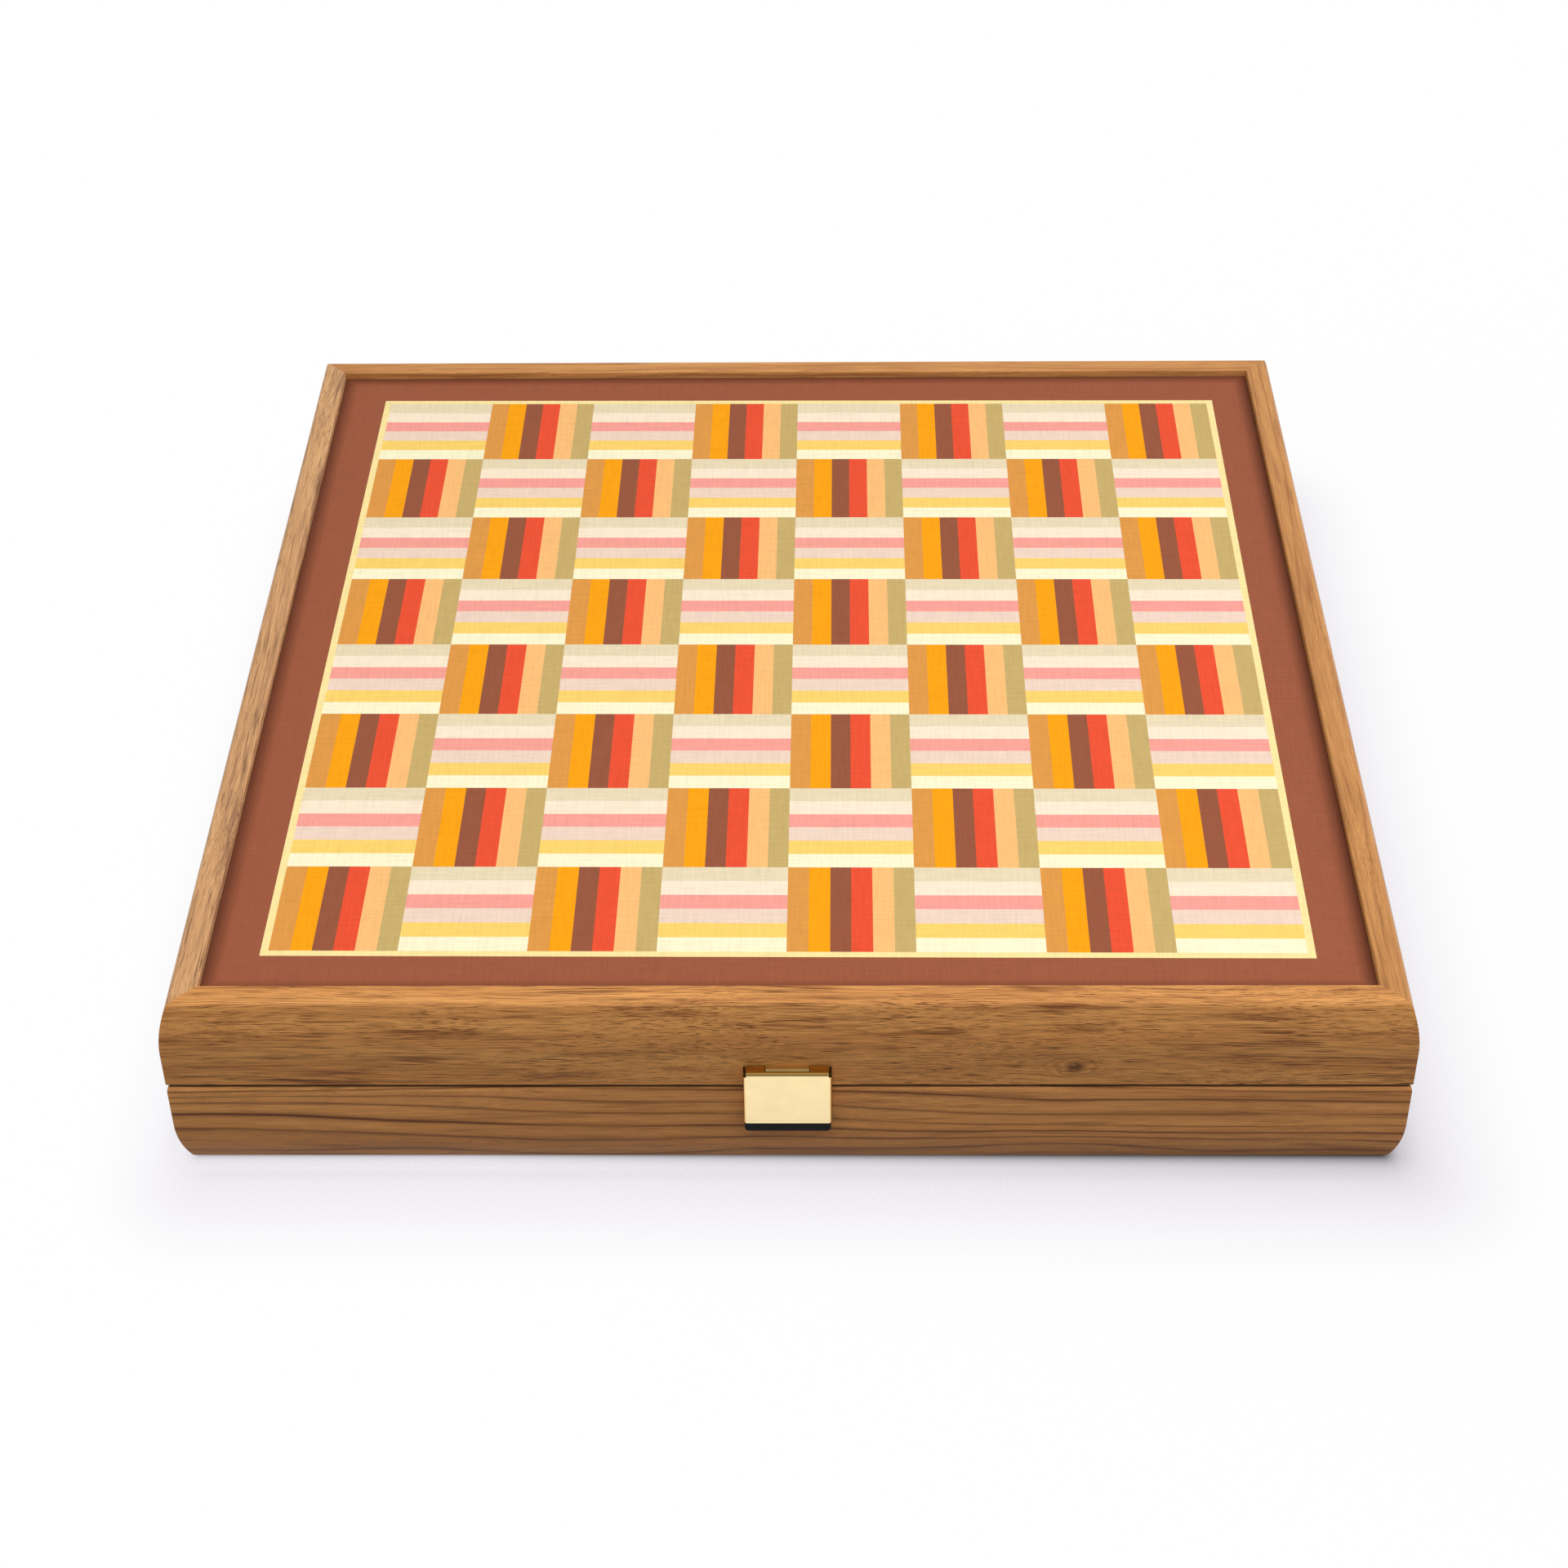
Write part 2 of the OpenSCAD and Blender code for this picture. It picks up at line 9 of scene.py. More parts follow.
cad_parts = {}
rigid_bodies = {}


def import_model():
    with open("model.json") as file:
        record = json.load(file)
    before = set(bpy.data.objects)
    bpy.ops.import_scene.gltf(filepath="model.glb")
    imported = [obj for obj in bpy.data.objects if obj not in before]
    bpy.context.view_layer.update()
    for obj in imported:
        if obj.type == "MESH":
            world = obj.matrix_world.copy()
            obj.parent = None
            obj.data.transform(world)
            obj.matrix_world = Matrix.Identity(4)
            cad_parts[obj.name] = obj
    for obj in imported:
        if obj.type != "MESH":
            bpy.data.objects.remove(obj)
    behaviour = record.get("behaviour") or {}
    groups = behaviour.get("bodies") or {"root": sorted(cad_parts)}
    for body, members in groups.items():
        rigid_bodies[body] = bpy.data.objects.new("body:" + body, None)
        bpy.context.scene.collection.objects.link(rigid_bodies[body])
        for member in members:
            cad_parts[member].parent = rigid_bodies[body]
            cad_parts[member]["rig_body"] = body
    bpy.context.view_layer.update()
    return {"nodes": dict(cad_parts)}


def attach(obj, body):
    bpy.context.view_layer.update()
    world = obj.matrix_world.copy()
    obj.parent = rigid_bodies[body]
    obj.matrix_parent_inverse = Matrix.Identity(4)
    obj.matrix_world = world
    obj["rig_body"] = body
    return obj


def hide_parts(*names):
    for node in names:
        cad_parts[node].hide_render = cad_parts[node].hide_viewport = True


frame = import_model()
mm = 0.001


# Shared helpers


def linear(hexColour):
    # sRGB hex to the linear RGBA that Blender's sockets take
    parts = [int(hexColour[i:i + 2], 16) / 255 for i in (1, 3, 5)]
    return tuple(p / 12.92 if p <= 0.04045 else ((p + 0.055) / 1.055) ** 2.4 for p in parts) + (1.0,)


def add(tree, kind, inputs=None, **settings):
    # one node with its settings, socket values and links
    made = tree.nodes.new(kind)
    for name, value in settings.items():
        setattr(made, name, value)
    for key, value in (inputs or {}).items():
        if isinstance(value, bpy.types.NodeSocket):
            tree.links.new(value, made.inputs[key])
        else:
            made.inputs[key].default_value = value
    return made


def stops(ramp, positions, colours):
    # fills a colour ramp with plain steps from left to right
    ramp.color_ramp.interpolation = "CONSTANT"
    elements = ramp.color_ramp.elements
    while len(elements) > 1:
        elements.remove(elements[-1])
    elements[0].position = positions[0]
    elements[0].color = linear(colours[0])
    for position, colour in zip(positions[1:], colours[1:]):
        elements.new(position).color = linear(colour)
    return ramp.outputs["Color"]


def newMaterial(name, **sockets):
    made = bpy.data.materials.new(name)
    made.use_nodes = True
    shader = made.node_tree.nodes["Principled BSDF"]
    for key, value in sockets.items():
        shader.inputs[key.replace("_", " ")].default_value = value
    return made, made.node_tree, shader


def math2(tree, operation, a, b=0.0, c=0.0, clamp=False):
    return add(tree, "ShaderNodeMath", {0: a, 1: b, 2: c}, operation=operation, use_clamp=clamp).outputs[0]


def vector2(tree, operation, a, b):
    return add(tree, "ShaderNodeVectorMath", {0: a, 1: b}, operation=operation).outputs[0]


def remap(tree, value, fromLow, fromHigh, low=0.0, high=1.0, smooth=False):
    limits = {"Value": value, "From Min": fromLow, "From Max": fromHigh, "To Min": low, "To Max": high}
    kind = "SMOOTHSTEP" if smooth else "LINEAR"
    return add(tree, "ShaderNodeMapRange", limits, interpolation_type=kind).outputs[0]


def mixColour(tree, factor, a, b, blend="MIX"):
    return add(tree, "ShaderNodeMix", {0: factor, 6: a, 7: b}, data_type="RGBA", blend_type=blend).outputs[2]


def shaded(tree, colour, shade):
    # colour times a grey
    grey = add(tree, "ShaderNodeCombineColor", {0: shade, 1: shade, 2: shade}).outputs[0]
    return mixColour(tree, 1.0, colour, grey, "MULTIPLY")


def objectPoint(tree, turnDeg=0.0, shift=(0, 0, 0)):
    # the point in the row frame, turned about the upright axis and then shifted
    coords = add(tree, "ShaderNodeTexCoord").outputs["Object"]
    turn = (0, 0, math.radians(turnDeg))
    turned = add(tree, "ShaderNodeMapping", {"Vector": coords, "Rotation": turn}).outputs[0]
    return vector2(tree, "ADD", turned, shift)


def flatLength(tree, x, y):
    squares = math2(tree, "ADD", math2(tree, "POWER", x, 2.0), math2(tree, "POWER", y, 2.0))
    return math2(tree, "SQRT", squares)


def stretch(tree, point, sizesMm):
    # scales the point so that one unit is this many mm along each axis
    return vector2(tree, "MULTIPLY", point, [1 / (s * mm) for s in sizesMm])


def noise(tree, vector, detail=2.0, rough=0.5, output="Fac"):
    return add(tree, "ShaderNodeTexNoise", {"Vector": vector, "Scale": 1.0, "Detail": detail,
                                            "Roughness": rough}).outputs[output]


def bump(tree, shader, height, distance, strength=1.0):
    made = add(tree, "ShaderNodeBump", {"Height": height, "Distance": distance, "Strength": strength})
    tree.links.new(made.outputs[0], shader.inputs["Normal"])


def plain(piece):
    # bakes the modifiers into the mesh, so that a plain mesh is left
    graph = bpy.context.evaluated_depsgraph_get()
    baked = bpy.data.meshes.new_from_object(piece.evaluated_get(graph))
    piece.modifiers.clear()
    piece.data = baked
    baked.name = piece.name
    return piece


def link(name, mesh):
    piece = bpy.data.objects.new(name, mesh)
    bpy.context.scene.collection.objects.link(piece)
    return piece


def meshOf(name, work):
    mesh = bpy.data.meshes.new(name)
    work.to_mesh(mesh)
    work.free()
    return mesh


def smooth(piece, sharpDeg):
    # smooth curves with crisp arrises and flat flats
    piece.data.shade_smooth()
    piece.data.set_sharp_from_angle(angle=math.radians(sharpDeg))
    piece.modifiers.new("flats", "WEIGHTED_NORMAL").keep_sharp = True
    return plain(piece)


def softenEdges(piece, width, angleDeg=30, segments=2):
    # rounds the arrises and keeps the flats flat
    arris = piece.modifiers.new("arris", "BEVEL")
    arris.width = width
    arris.segments = segments
    arris.limit_method = "ANGLE"
    arris.angle_limit = math.radians(angleDeg)
    arris.use_clamp_overlap = True
    plain(piece)
    return smooth(piece, 50)


def dressed(node, name, material, edge=0.0):
    # a merged copy of a CAD node, with rounded edges when an edge width is given, which stands for the node
    source = frame["nodes"][node]
    work = bmesh.new()
    work.from_mesh(source.data)
    bmesh.ops.remove_doubles(work, verts=work.verts, dist=1e-6)
    bmesh.ops.dissolve_limit(work, angle_limit=math.radians(0.5), verts=work.verts, edges=work.edges)
    piece = link(name, meshOf(name, work))
    piece.data.materials.append(material)
    if edge:
        softenEdges(piece, edge)
    else:
        smooth(piece, 40)
    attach(piece, source["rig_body"])
    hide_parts(node)
    return piece


def paint(material, *nodes):
    # gives CAD nodes that keep their own mesh this material
    for node in nodes:
        frame["nodes"][node].data.materials.clear()
        frame["nodes"][node].data.materials.append(material)


def startTree(name, inputs):
    # a geometry tree with one geometry in and out and named inputs
    tree = bpy.data.node_groups.new(name, "GeometryNodeTree")
    tree.interface.new_socket("Geometry", in_out="INPUT", socket_type="NodeSocketGeometry")
    tree.interface.new_socket("Geometry", in_out="OUTPUT", socket_type="NodeSocketGeometry")
    for label, kind in inputs.items():
        tree.interface.new_socket(label, in_out="INPUT", socket_type="NodeSocket" + kind)
    return tree, add(tree, "NodeGroupInput").outputs, add(tree, "NodeGroupOutput").inputs


def endTree(tree, geometry, material, result):
    # a plain mesh with its material leaves the tree
    real = add(tree, "GeometryNodeRealizeInstances", {"Geometry": geometry}).outputs[0]
    coated = add(tree, "GeometryNodeSetMaterial", {"Geometry": real, "Material": material}).outputs[0]
    tree.links.new(coated, result["Geometry"])
    return tree


def grow(piece, tree, values):
    # puts the tree on the piece, sets its inputs and leaves a plain mesh
    modifier = piece.modifiers.new(tree.name, "NODES")
    modifier.node_group = tree
    for item in tree.interface.items_tree:
        if item.item_type == "SOCKET" and item.in_out == "INPUT" and item.name in values:
            modifier[item.identifier] = values[item.name]
    return plain(piece)


# Camera, light and floor

cameraSet = {
    "lensMm": 67.286,
    "place": (0.01012, -0.74008, 0.59633),
    "turnDeg": (51.1163, 0.5717, 0.5512),
}
lightSet = {
    "domeStrength": 0.3,
    "mirror": {"middle": 0.45, "slope": (0.14, 0.2, 0.1)},
    "softboxes": {
        "overhead": {"size": 1.3, "place": (0.1, -0.6, 1.4), "power": 11.0},
        "leftBox": {"size": 1.1, "place": (-1.2, 0.0, 0.85), "power": 4.5, "colour": (1.0, 0.97, 0.93)},
        "rightBox": {"size": 1.1, "place": (1.2, 0.0, 0.85), "power": 9.0, "colour": (1.0, 0.95, 1.1)},
        "backBox": {"size": 0.9, "place": (0.6, 1.15, 0.85), "power": 2.0},
    },
}
floorSet = {
    "half": 3.0,
    "colour": "#f1edf3",
    "bounce": "#7b787c",
    "threadMm": 1.0,
    "footMm": 165.5,
    "shadowTint": {"middleMm": (5.0, -10.0), "fromMm": -5.0, "toMm": 40.0},
    "contactShadow": {"deep": 1.03, "halfMm": 1.75, "leanPerMm": 0.01, "power": 1.75},
    "underMm": 12.0,
    "underFromToMm": (6.0, 14.0),
    "mirrorGain": 0.1,
}


def makeCamera(values):
    data = bpy.data.cameras.new("photoCamera")
    data.sensor_width = 36.0
    data.lens = values["lensMm"]
    data.clip_start = 0.05
    data.clip_end = 30.0
    camera = bpy.data.objects.new("photoCamera", data)
    camera.location = values["place"]
    camera.rotation_euler = [math.radians(a) for a in values["turnDeg"]]
    bpy.context.scene.collection.objects.link(camera)
    bpy.context.scene.camera = camera


def areaLight(name, size, place, power, colour=(1, 1, 1), aim=(0, 0, 0.05)):
    data = bpy.data.lights.new(name, "AREA")
    data.size = size
    data.energy = power
    data.color = colour
    lamp = bpy.data.objects.new(name, data)
    lamp.location = place
    lamp.rotation_euler = (Vector(aim) - Vector(place)).to_track_quat("-Z", "Y").to_euler()
    lamp.visible_glossy = False
    bpy.context.scene.collection.objects.link(lamp)


def makeWorld(values):
    # white where the camera looks, a soft even dome for light, a sloping light for what shines
    world = bpy.data.worlds.new("studio")
    bpy.context.scene.world = world
    world.use_nodes = True
    tree = world.node_tree
    tree.nodes.clear()
    white = (1, 1, 1, 1)
    way = add(tree, "ShaderNodeTexCoord").outputs["Generated"]
    lean = add(tree, "ShaderNodeVectorMath", {0: way, 1: values["mirror"]["slope"]}, operation="DOT_PRODUCT")
    bright = math2(tree, "ADD", lean.outputs["Value"], values["mirror"]["middle"])
    mirror = add(tree, "ShaderNodeBackground", {"Color": white, "Strength": bright})
    dome = add(tree, "ShaderNodeBackground", {"Color": white, "Strength": values["domeStrength"]})
    seen = add(tree, "ShaderNodeBackground", {"Color": white, "Strength": 1.0})
    path = add(tree, "ShaderNodeLightPath").outputs
    lights = {0: path["Is Glossy Ray"], 1: dome.outputs[0], 2: mirror.outputs[0]}
    light = add(tree, "ShaderNodeMixShader", lights)
    direct = math2(tree, "ADD", path["Is Camera Ray"], path["Is Transmission Ray"], clamp=True)
    both = add(tree, "ShaderNodeMixShader", {0: direct, 1: light.outputs[0], 2: seen.outputs[0]})
    add(tree, "ShaderNodeOutputWorld", {"Surface": both.outputs[0]})


def outside(tree, split, footMm, middleMm=(0, 0)):
    # distance in mm outside a square round the case's foot
    sides = []
    for value, middle in zip(split, middleMm):
        offset = math2(tree, "ABSOLUTE", math2(tree, "MULTIPLY_ADD", value, 1 / mm, -middle))
        sides.append(math2(tree, "MAXIMUM", math2(tree, "SUBTRACT", offset, footMm), 0.0))
    return flatLength(tree, *sides)


def makeFloor(values):
    # bleached cotton cloth, woven and matt and seen as white, with painted shadow: dark under the case,
    # faintly grey round it, white further out
    made, tree, shader = newMaterial("bleachedCotton", Base_Color=linear(values["bounce"]), Roughness=0.9)
    shader.inputs["Specular IOR Level"].default_value = 0.1
    point = objectPoint(tree)
    split = add(tree, "ShaderNodeSeparateXYZ", {0: point}).outputs
    wave = 2 * math.pi / (values["threadMm"] * mm)
    across = math2(tree, "SINE", math2(tree, "MULTIPLY", split[0], wave))
    along = math2(tree, "SINE", math2(tree, "MULTIPLY", split[1], wave))
    threads = noise(tree, stretch(tree, point, (0.8, 0.8, 1000)), 1.0)
    weave = math2(tree, "MULTIPLY_ADD", math2(tree, "MULTIPLY", across, along), 0.035,
                  remap(tree, threads, 0.3, 0.7, 0.975, 1.025))
    # painted shadow: the cloth greys towards the case, reaching further to the right and to the front
    shadowTint = values["shadowTint"]
    fromFoot = outside(tree, split, values["footMm"], shadowTint["middleMm"])
    white = remap(tree, fromFoot, shadowTint["fromMm"], shadowTint["toMm"], smooth=True)
    cloth = mixColour(tree, white, shaded(tree, linear(values["colour"]), weave), (1, 1, 1, 1))
    away = outside(tree, split, values["footMm"])
    # painted contact shadow: dark at the foot and fading within a few mm, reaching further towards the right
    contactShadow = values["contactShadow"]
    reach = math2(tree, "MULTIPLY_ADD", split[0], contactShadow["leanPerMm"] / mm, contactShadow["halfMm"])
    reach = math2(tree, "MAXIMUM", reach, 0.5 * contactShadow["halfMm"])
    fall = math2(tree, "POWER", math2(tree, "DIVIDE", away, reach), contactShadow["power"])
    dark = math2(tree, "DIVIDE", contactShadow["deep"], math2(tree, "ADD", fall, 1.0))
    # painted shade from ambient occlusion under an opened lid, which the contact shadow round the foot
    # doesn't reach
    near = add(tree, "ShaderNodeAmbientOcclusion", {"Distance": values["underMm"] * mm}, samples=12)
    covered = remap(tree, near.outputs["AO"], 0.1, 0.85)
    under = mixColour(tree, remap(tree, away, *values["underFromToMm"]), (1, 1, 1, 1), covered)
    paintedShadow = shaded(tree, under, math2(tree, "SUBTRACT", 1.0, dark, clamp=True))
    path = add(tree, "ShaderNodeLightPath").outputs
    direct = math2(tree, "ADD", path["Is Camera Ray"], path["Is Transmission Ray"], clamp=True)
    strength = math2(tree, "ADD", 1.0, math2(tree, "MULTIPLY", path["Is Glossy Ray"], values["mirrorGain"]))
    seenCloth = mixColour(tree, 1.0, cloth, paintedShadow, "MULTIPLY")
    glow = add(tree, "ShaderNodeEmission", {"Color": seenCloth, "Strength": strength})
    seen = math2(tree, "ADD", direct, path["Is Glossy Ray"], clamp=True)
    both = add(tree, "ShaderNodeMixShader", {0: seen, 1: shader.outputs[0], 2: glow.outputs[0]})
    tree.links.new(both.outputs[0], tree.nodes["Material Output"].inputs["Surface"])
    half = values["half"]
    mesh = bpy.data.meshes.new("floor")
    corners = [(-half, -half, 0), (half, -half, 0), (half, half, 0), (-half, half, 0)]
    mesh.from_pydata(corners, [], [(0, 1, 2, 3)])
    mesh.materials.append(made)
    link("floor", mesh)


makeCamera(cameraSet)
makeWorld(lightSet)
for boxName, box in lightSet["softboxes"].items():
    areaLight(boxName, **box)
makeFloor(floorSet)
bpy.context.scene.view_settings.view_transform = "Standard"
print("camera, lights and floor made")


# Printed boards

palette = {
    "ground": "#9f5c41",
    "frame": "#ffeaa2",
    "upright": ["#e39d4b", "#ffa716", "#9a5a40", "#ef5637", "#ffc47c", "#ccb16f"],
    "level": ["#eddeb8", "#ffedd0", "#fba698", "#f4dac4", "#ffd870", "#fffad1"],
    "line": "#7a3f2c",
}
stripedSet = {"squareMm": 35.646, "shiftMm": (0.38, -0.93), "turnDeg": -0.286, "frameWide": 0.06,
              "wallMm": 159.4}
pointsSet = {"fromYMm": -104.0, "pitchMm": 41.0, "rows": 6, "wallMm": 148.0, "longMm": 130.0, "wide": 0.47}
crossSet = {"cellMm": 19.0, "homeMm": 44.0, "spotMm": 9.0, "lineMm": 0.5}
# thread tone, then the painted shade beside the rails: where it starts, where it ends and how dark it gets
paperSet = {"threadTone": (0.91, 1.08), "wallFromMm": 0.8, "wallToMm": 4.9, "wallShade": 0.52}


def printedPaper(name, threadMm=0.75):
    # printed on linen-grained paper, then given a thin satin varnish
    made, tree, shader = newMaterial(name, Roughness=0.6)
    shader.inputs["Specular IOR Level"].default_value = 0.06
    point = objectPoint(tree)
    warpThreads = noise(tree, stretch(tree, point, (threadMm, 14 * threadMm, 1000)))
    weftThreads = noise(tree, stretch(tree, point, (14 * threadMm, threadMm, 1000)))
    threads = math2(tree, "MULTIPLY", math2(tree, "ADD", warpThreads, weftThreads), 0.5)
    bump(tree, shader, threads, 0.04 * mm, 0.35)

    def finish(colour, wallMm=None):
        toned = shaded(tree, colour, remap(tree, threads, 0.3, 0.7, *paperSet["threadTone"]))
        if wallMm:
            # painted shade in the corner beside the rails, darkest at the foot of the wall
            split = add(tree, "ShaderNodeSeparateXYZ", {0: point}).outputs
            spread = [math2(tree, "ABSOLUTE", s) for s in split[:2]]
            fromWall = math2(tree, "SUBTRACT", wallMm * mm, math2(tree, "MAXIMUM", *spread))
            paintedWallShade = remap(tree, fromWall, paperSet["wallFromMm"] * mm, paperSet["wallToMm"] * mm,
                         paperSet["wallShade"], 1.0)
            toned = shaded(tree, toned, paintedWallShade)
        tree.links.new(toned, shader.inputs["Base Color"])
        return made

    return tree, point, finish


def makeStripedPrint(values):
    # light squares with level stripes, dark squares with upright stripes, a thin frame and a plain ground
    tree, point, finish = printedPaper("linenPaperStriped")
    size = values["squareMm"] * mm
    turned = add(tree, "ShaderNodeMapping", {
        "Vector": point, "Location": [s * mm for s in values["shiftMm"]] + [0],
        "Rotation": (0, 0, math.radians(values["turnDeg"]))}, vector_type="TEXTURE").outputs[0]
    split = add(tree, "ShaderNodeSeparateXYZ", {0: turned}).outputs
    column = math2(tree, "MULTIPLY_ADD", split[0], 1 / size, 4.0)
    row = math2(tree, "MULTIPLY_ADD", split[1], -1 / size, 4.0)
    whole = math2(tree, "ADD", math2(tree, "FLOOR", column), math2(tree, "FLOOR", row))
    odd = math2(tree, "MODULO", math2(tree, "ADD", whole, 64.0), 2.0)
    sixths = [i / 6 for i in range(6)]
    stripes = []
    for place, colours in ((row, "level"), (column, "upright")):
        ramp = add(tree, "ShaderNodeValToRGB", {0: math2(tree, "FRACT", place)})
        stripes.append(stops(ramp, sixths, palette[colours]))
    squares = mixColour(tree, odd, *stripes)
    fromMiddle = math2(tree, "MAXIMUM",
                       math2(tree, "ABSOLUTE", math2(tree, "SUBTRACT", column, 4.0)),
                       math2(tree, "ABSOLUTE", math2(tree, "SUBTRACT", row, 4.0)))
    framed = mixColour(tree, math2(tree, "GREATER_THAN", fromMiddle, 4.0), squares, linear(palette["frame"]))
    edged = math2(tree, "GREATER_THAN", fromMiddle, 4.0 + values["frameWide"])
    return finish(mixColour(tree, edged, framed, linear(palette["ground"])), values["wallMm"])


def makePointsPrint(values):
    # six long points from each side wall, in two colours by turns
    tree, point, finish = printedPaper("linenPaperPoints")
    split = add(tree, "ShaderNodeSeparateXYZ", {0: point}).outputs
    fromFirst = math2(tree, "SUBTRACT", split[1], values["fromYMm"] * mm)
    step = math2(tree, "DIVIDE", fromFirst, values["pitchMm"] * mm)
    offCentre = math2(tree, "ABSOLUTE", math2(tree, "SUBTRACT", math2(tree, "FRACT", step), 0.5))
    fromWall = math2(tree, "SUBTRACT", values["wallMm"] * mm, math2(tree, "ABSOLUTE", split[0]))
    along = math2(tree, "DIVIDE", fromWall, values["longMm"] * mm)
    halfWide = math2(tree, "MULTIPLY", math2(tree, "SUBTRACT", 1.0, along), values["wide"])
    inside = math2(tree, "LESS_THAN", offCentre, halfWide)
    for low in (along, step, math2(tree, "SUBTRACT", float(values["rows"]), step)):
        inside = math2(tree, "MULTIPLY", inside, math2(tree, "GREATER_THAN", low, 0.0))
    side = math2(tree, "GREATER_THAN", split[0], 0.0)
    # 20 is even and keeps the count above zero
    count = math2(tree, "ADD", math2(tree, "FLOOR", step), math2(tree, "ADD", side, 20.0))
    odd = math2(tree, "MODULO", count, 2.0)
    points = mixColour(tree, odd, linear(palette["frame"]), linear(palette["upright"][1]))
    return finish(mixColour(tree, inside, linear(palette["ground"]), points))


def makeCrossPrint(values):
    # cross-and-circle game: four homes, a cross three cells wide and a middle of four triangles
    tree, point, finish = printedPaper("linenPaperCross")
    cells = add(tree, "ShaderNodeSeparateXYZ", {0: stretch(tree, point, (values["cellMm"],) * 3)}).outputs
    x, y = cells[0], cells[1]
    ax, ay = math2(tree, "ABSOLUTE", x), math2(tree, "ABSOLUTE", y)
    right, back = math2(tree, "GREATER_THAN", x, 0.0), math2(tree, "GREATER_THAN", y, 0.0)
    colours = [linear(palette["upright"][i]) for i in (1, 3, 5)] + [linear(palette["level"][2])]
    homes = mixColour(tree, back, mixColour(tree, right, colours[0], colours[1]),
                      mixColour(tree, right, colours[2], colours[3]))
    homeX, homeY = math2(tree, "SUBTRACT", ax, 4.5), math2(tree, "SUBTRACT", ay, 4.5)
    disc = math2(tree, "LESS_THAN", flatLength(tree, homeX, homeY), values["homeMm"] / values["cellMm"])
    spotX = math2(tree, "SUBTRACT", math2(tree, "ABSOLUTE", homeX), 1.0)
    spotY = math2(tree, "SUBTRACT", math2(tree, "ABSOLUTE", homeY), 1.0)
    spot = math2(tree, "LESS_THAN", flatLength(tree, spotX, spotY), values["spotMm"] / values["cellMm"])
    quarter = mixColour(tree, disc, homes, linear(palette["frame"]))
    quarter = mixColour(tree, spot, quarter, homes)
    # the arms' cells, whose middle row and whose middle triangles take the four colours
    sideways = math2(tree, "GREATER_THAN", ax, ay)
    arms = mixColour(tree, sideways, mixColour(tree, back, colours[0], colours[3]),
                     mixColour(tree, right, colours[2], colours[1]))
    least, most = math2(tree, "MINIMUM", ax, ay), math2(tree, "MAXIMUM", ax, ay)
    middle = math2(tree, "LESS_THAN", most, 1.5)
    lane = math2(tree, "MULTIPLY", math2(tree, "LESS_THAN", least, 0.5), math2(tree, "LESS_THAN", most, 6.5))
    coloured = math2(tree, "MAXIMUM", middle, lane)
    cross = mixColour(tree, coloured, linear(palette["frame"]), arms)
    edge = values["lineMm"] / values["cellMm"]
    grid = None
    for value in (ax, ay):
        offLine = math2(tree, "ABSOLUTE", math2(tree, "SUBTRACT", math2(tree, "FRACT", value), 0.5))
        onLine = math2(tree, "LESS_THAN", offLine, edge)
        grid = onLine if grid is None else math2(tree, "MAXIMUM", grid, onLine)
    grid = math2(tree, "MULTIPLY", grid, math2(tree, "SUBTRACT", 1.0, middle))
    cross = mixColour(tree, grid, cross, linear(palette["line"]))
    board = mixColour(tree, math2(tree, "LESS_THAN", least, 1.5), quarter, cross)
    border = math2(tree, "GREATER_THAN", most, 7.5)
    return finish(mixColour(tree, border, board, linear(palette["ground"])))


paint(makeStripedPrint(stripedSet), "board_sheet")
paint(makePointsPrint(pointsSet), "base_field_sheet", "lid_field_sheet")
paint(makeCrossPrint(crossSet), "underside_sheet")
print("printed boards made")


# Walnut rails

woodLooks = {
    # hex colours, growth-ring pitch, then how strong each feature of the grain is
    "plain": {"light": "#eeae64", "dark": "#ca8549", "late": "#8a502c", "pore": "#60321c", "ringMm": 9.0,
              "rings": 0.2, "smudges": 0.65, "strokes": 1.0, "fibres": 0.45},
    "calm": {"light": "#e5a864", "dark": "#c4864d", "late": "#8f552d", "pore": "#6a3a20", "ringMm": 4.2,
             "rings": 0.7, "smudges": 0.4, "strokes": 0.3, "fibres": 0.35},
    "tan": {"light": "#dca160", "dark": "#bb8049", "late": "#8a5230", "pore": "#6a3a20", "ringMm": 4.6,
            "rings": 0.6, "smudges": 0.4, "strokes": 0.35, "fibres": 0.35},
    # the left rail's look: walnut grain, made paler and greyer than the other rails as painted light,
    # standing in for a veil of flare along the left side
    "pale": {"light": "#eab880", "dark": "#ca9666", "late": "#8a5e46", "pore": "#5f3e30", "ringMm": 7.0,
             "rings": 0.5, "smudges": 0.65, "strokes": 0.8, "fibres": 0.5},
    "banded": {"light": "#f1ad66", "dark": "#ce8a4e", "late": "#6f3e22", "pore": "#60321c", "ringMm": 3.3,
               "rings": 1.5, "smudges": 0.4, "strokes": 0.35, "fibres": 0.35},
}
# painted shade along the parting between lid and base: its height, its reach and how dark it gets
partingShade = {"levelMm": 30.6, "fromMm": 0.4, "toMm": 0.8, "outerMm": 168.7, "shade": 0.1}


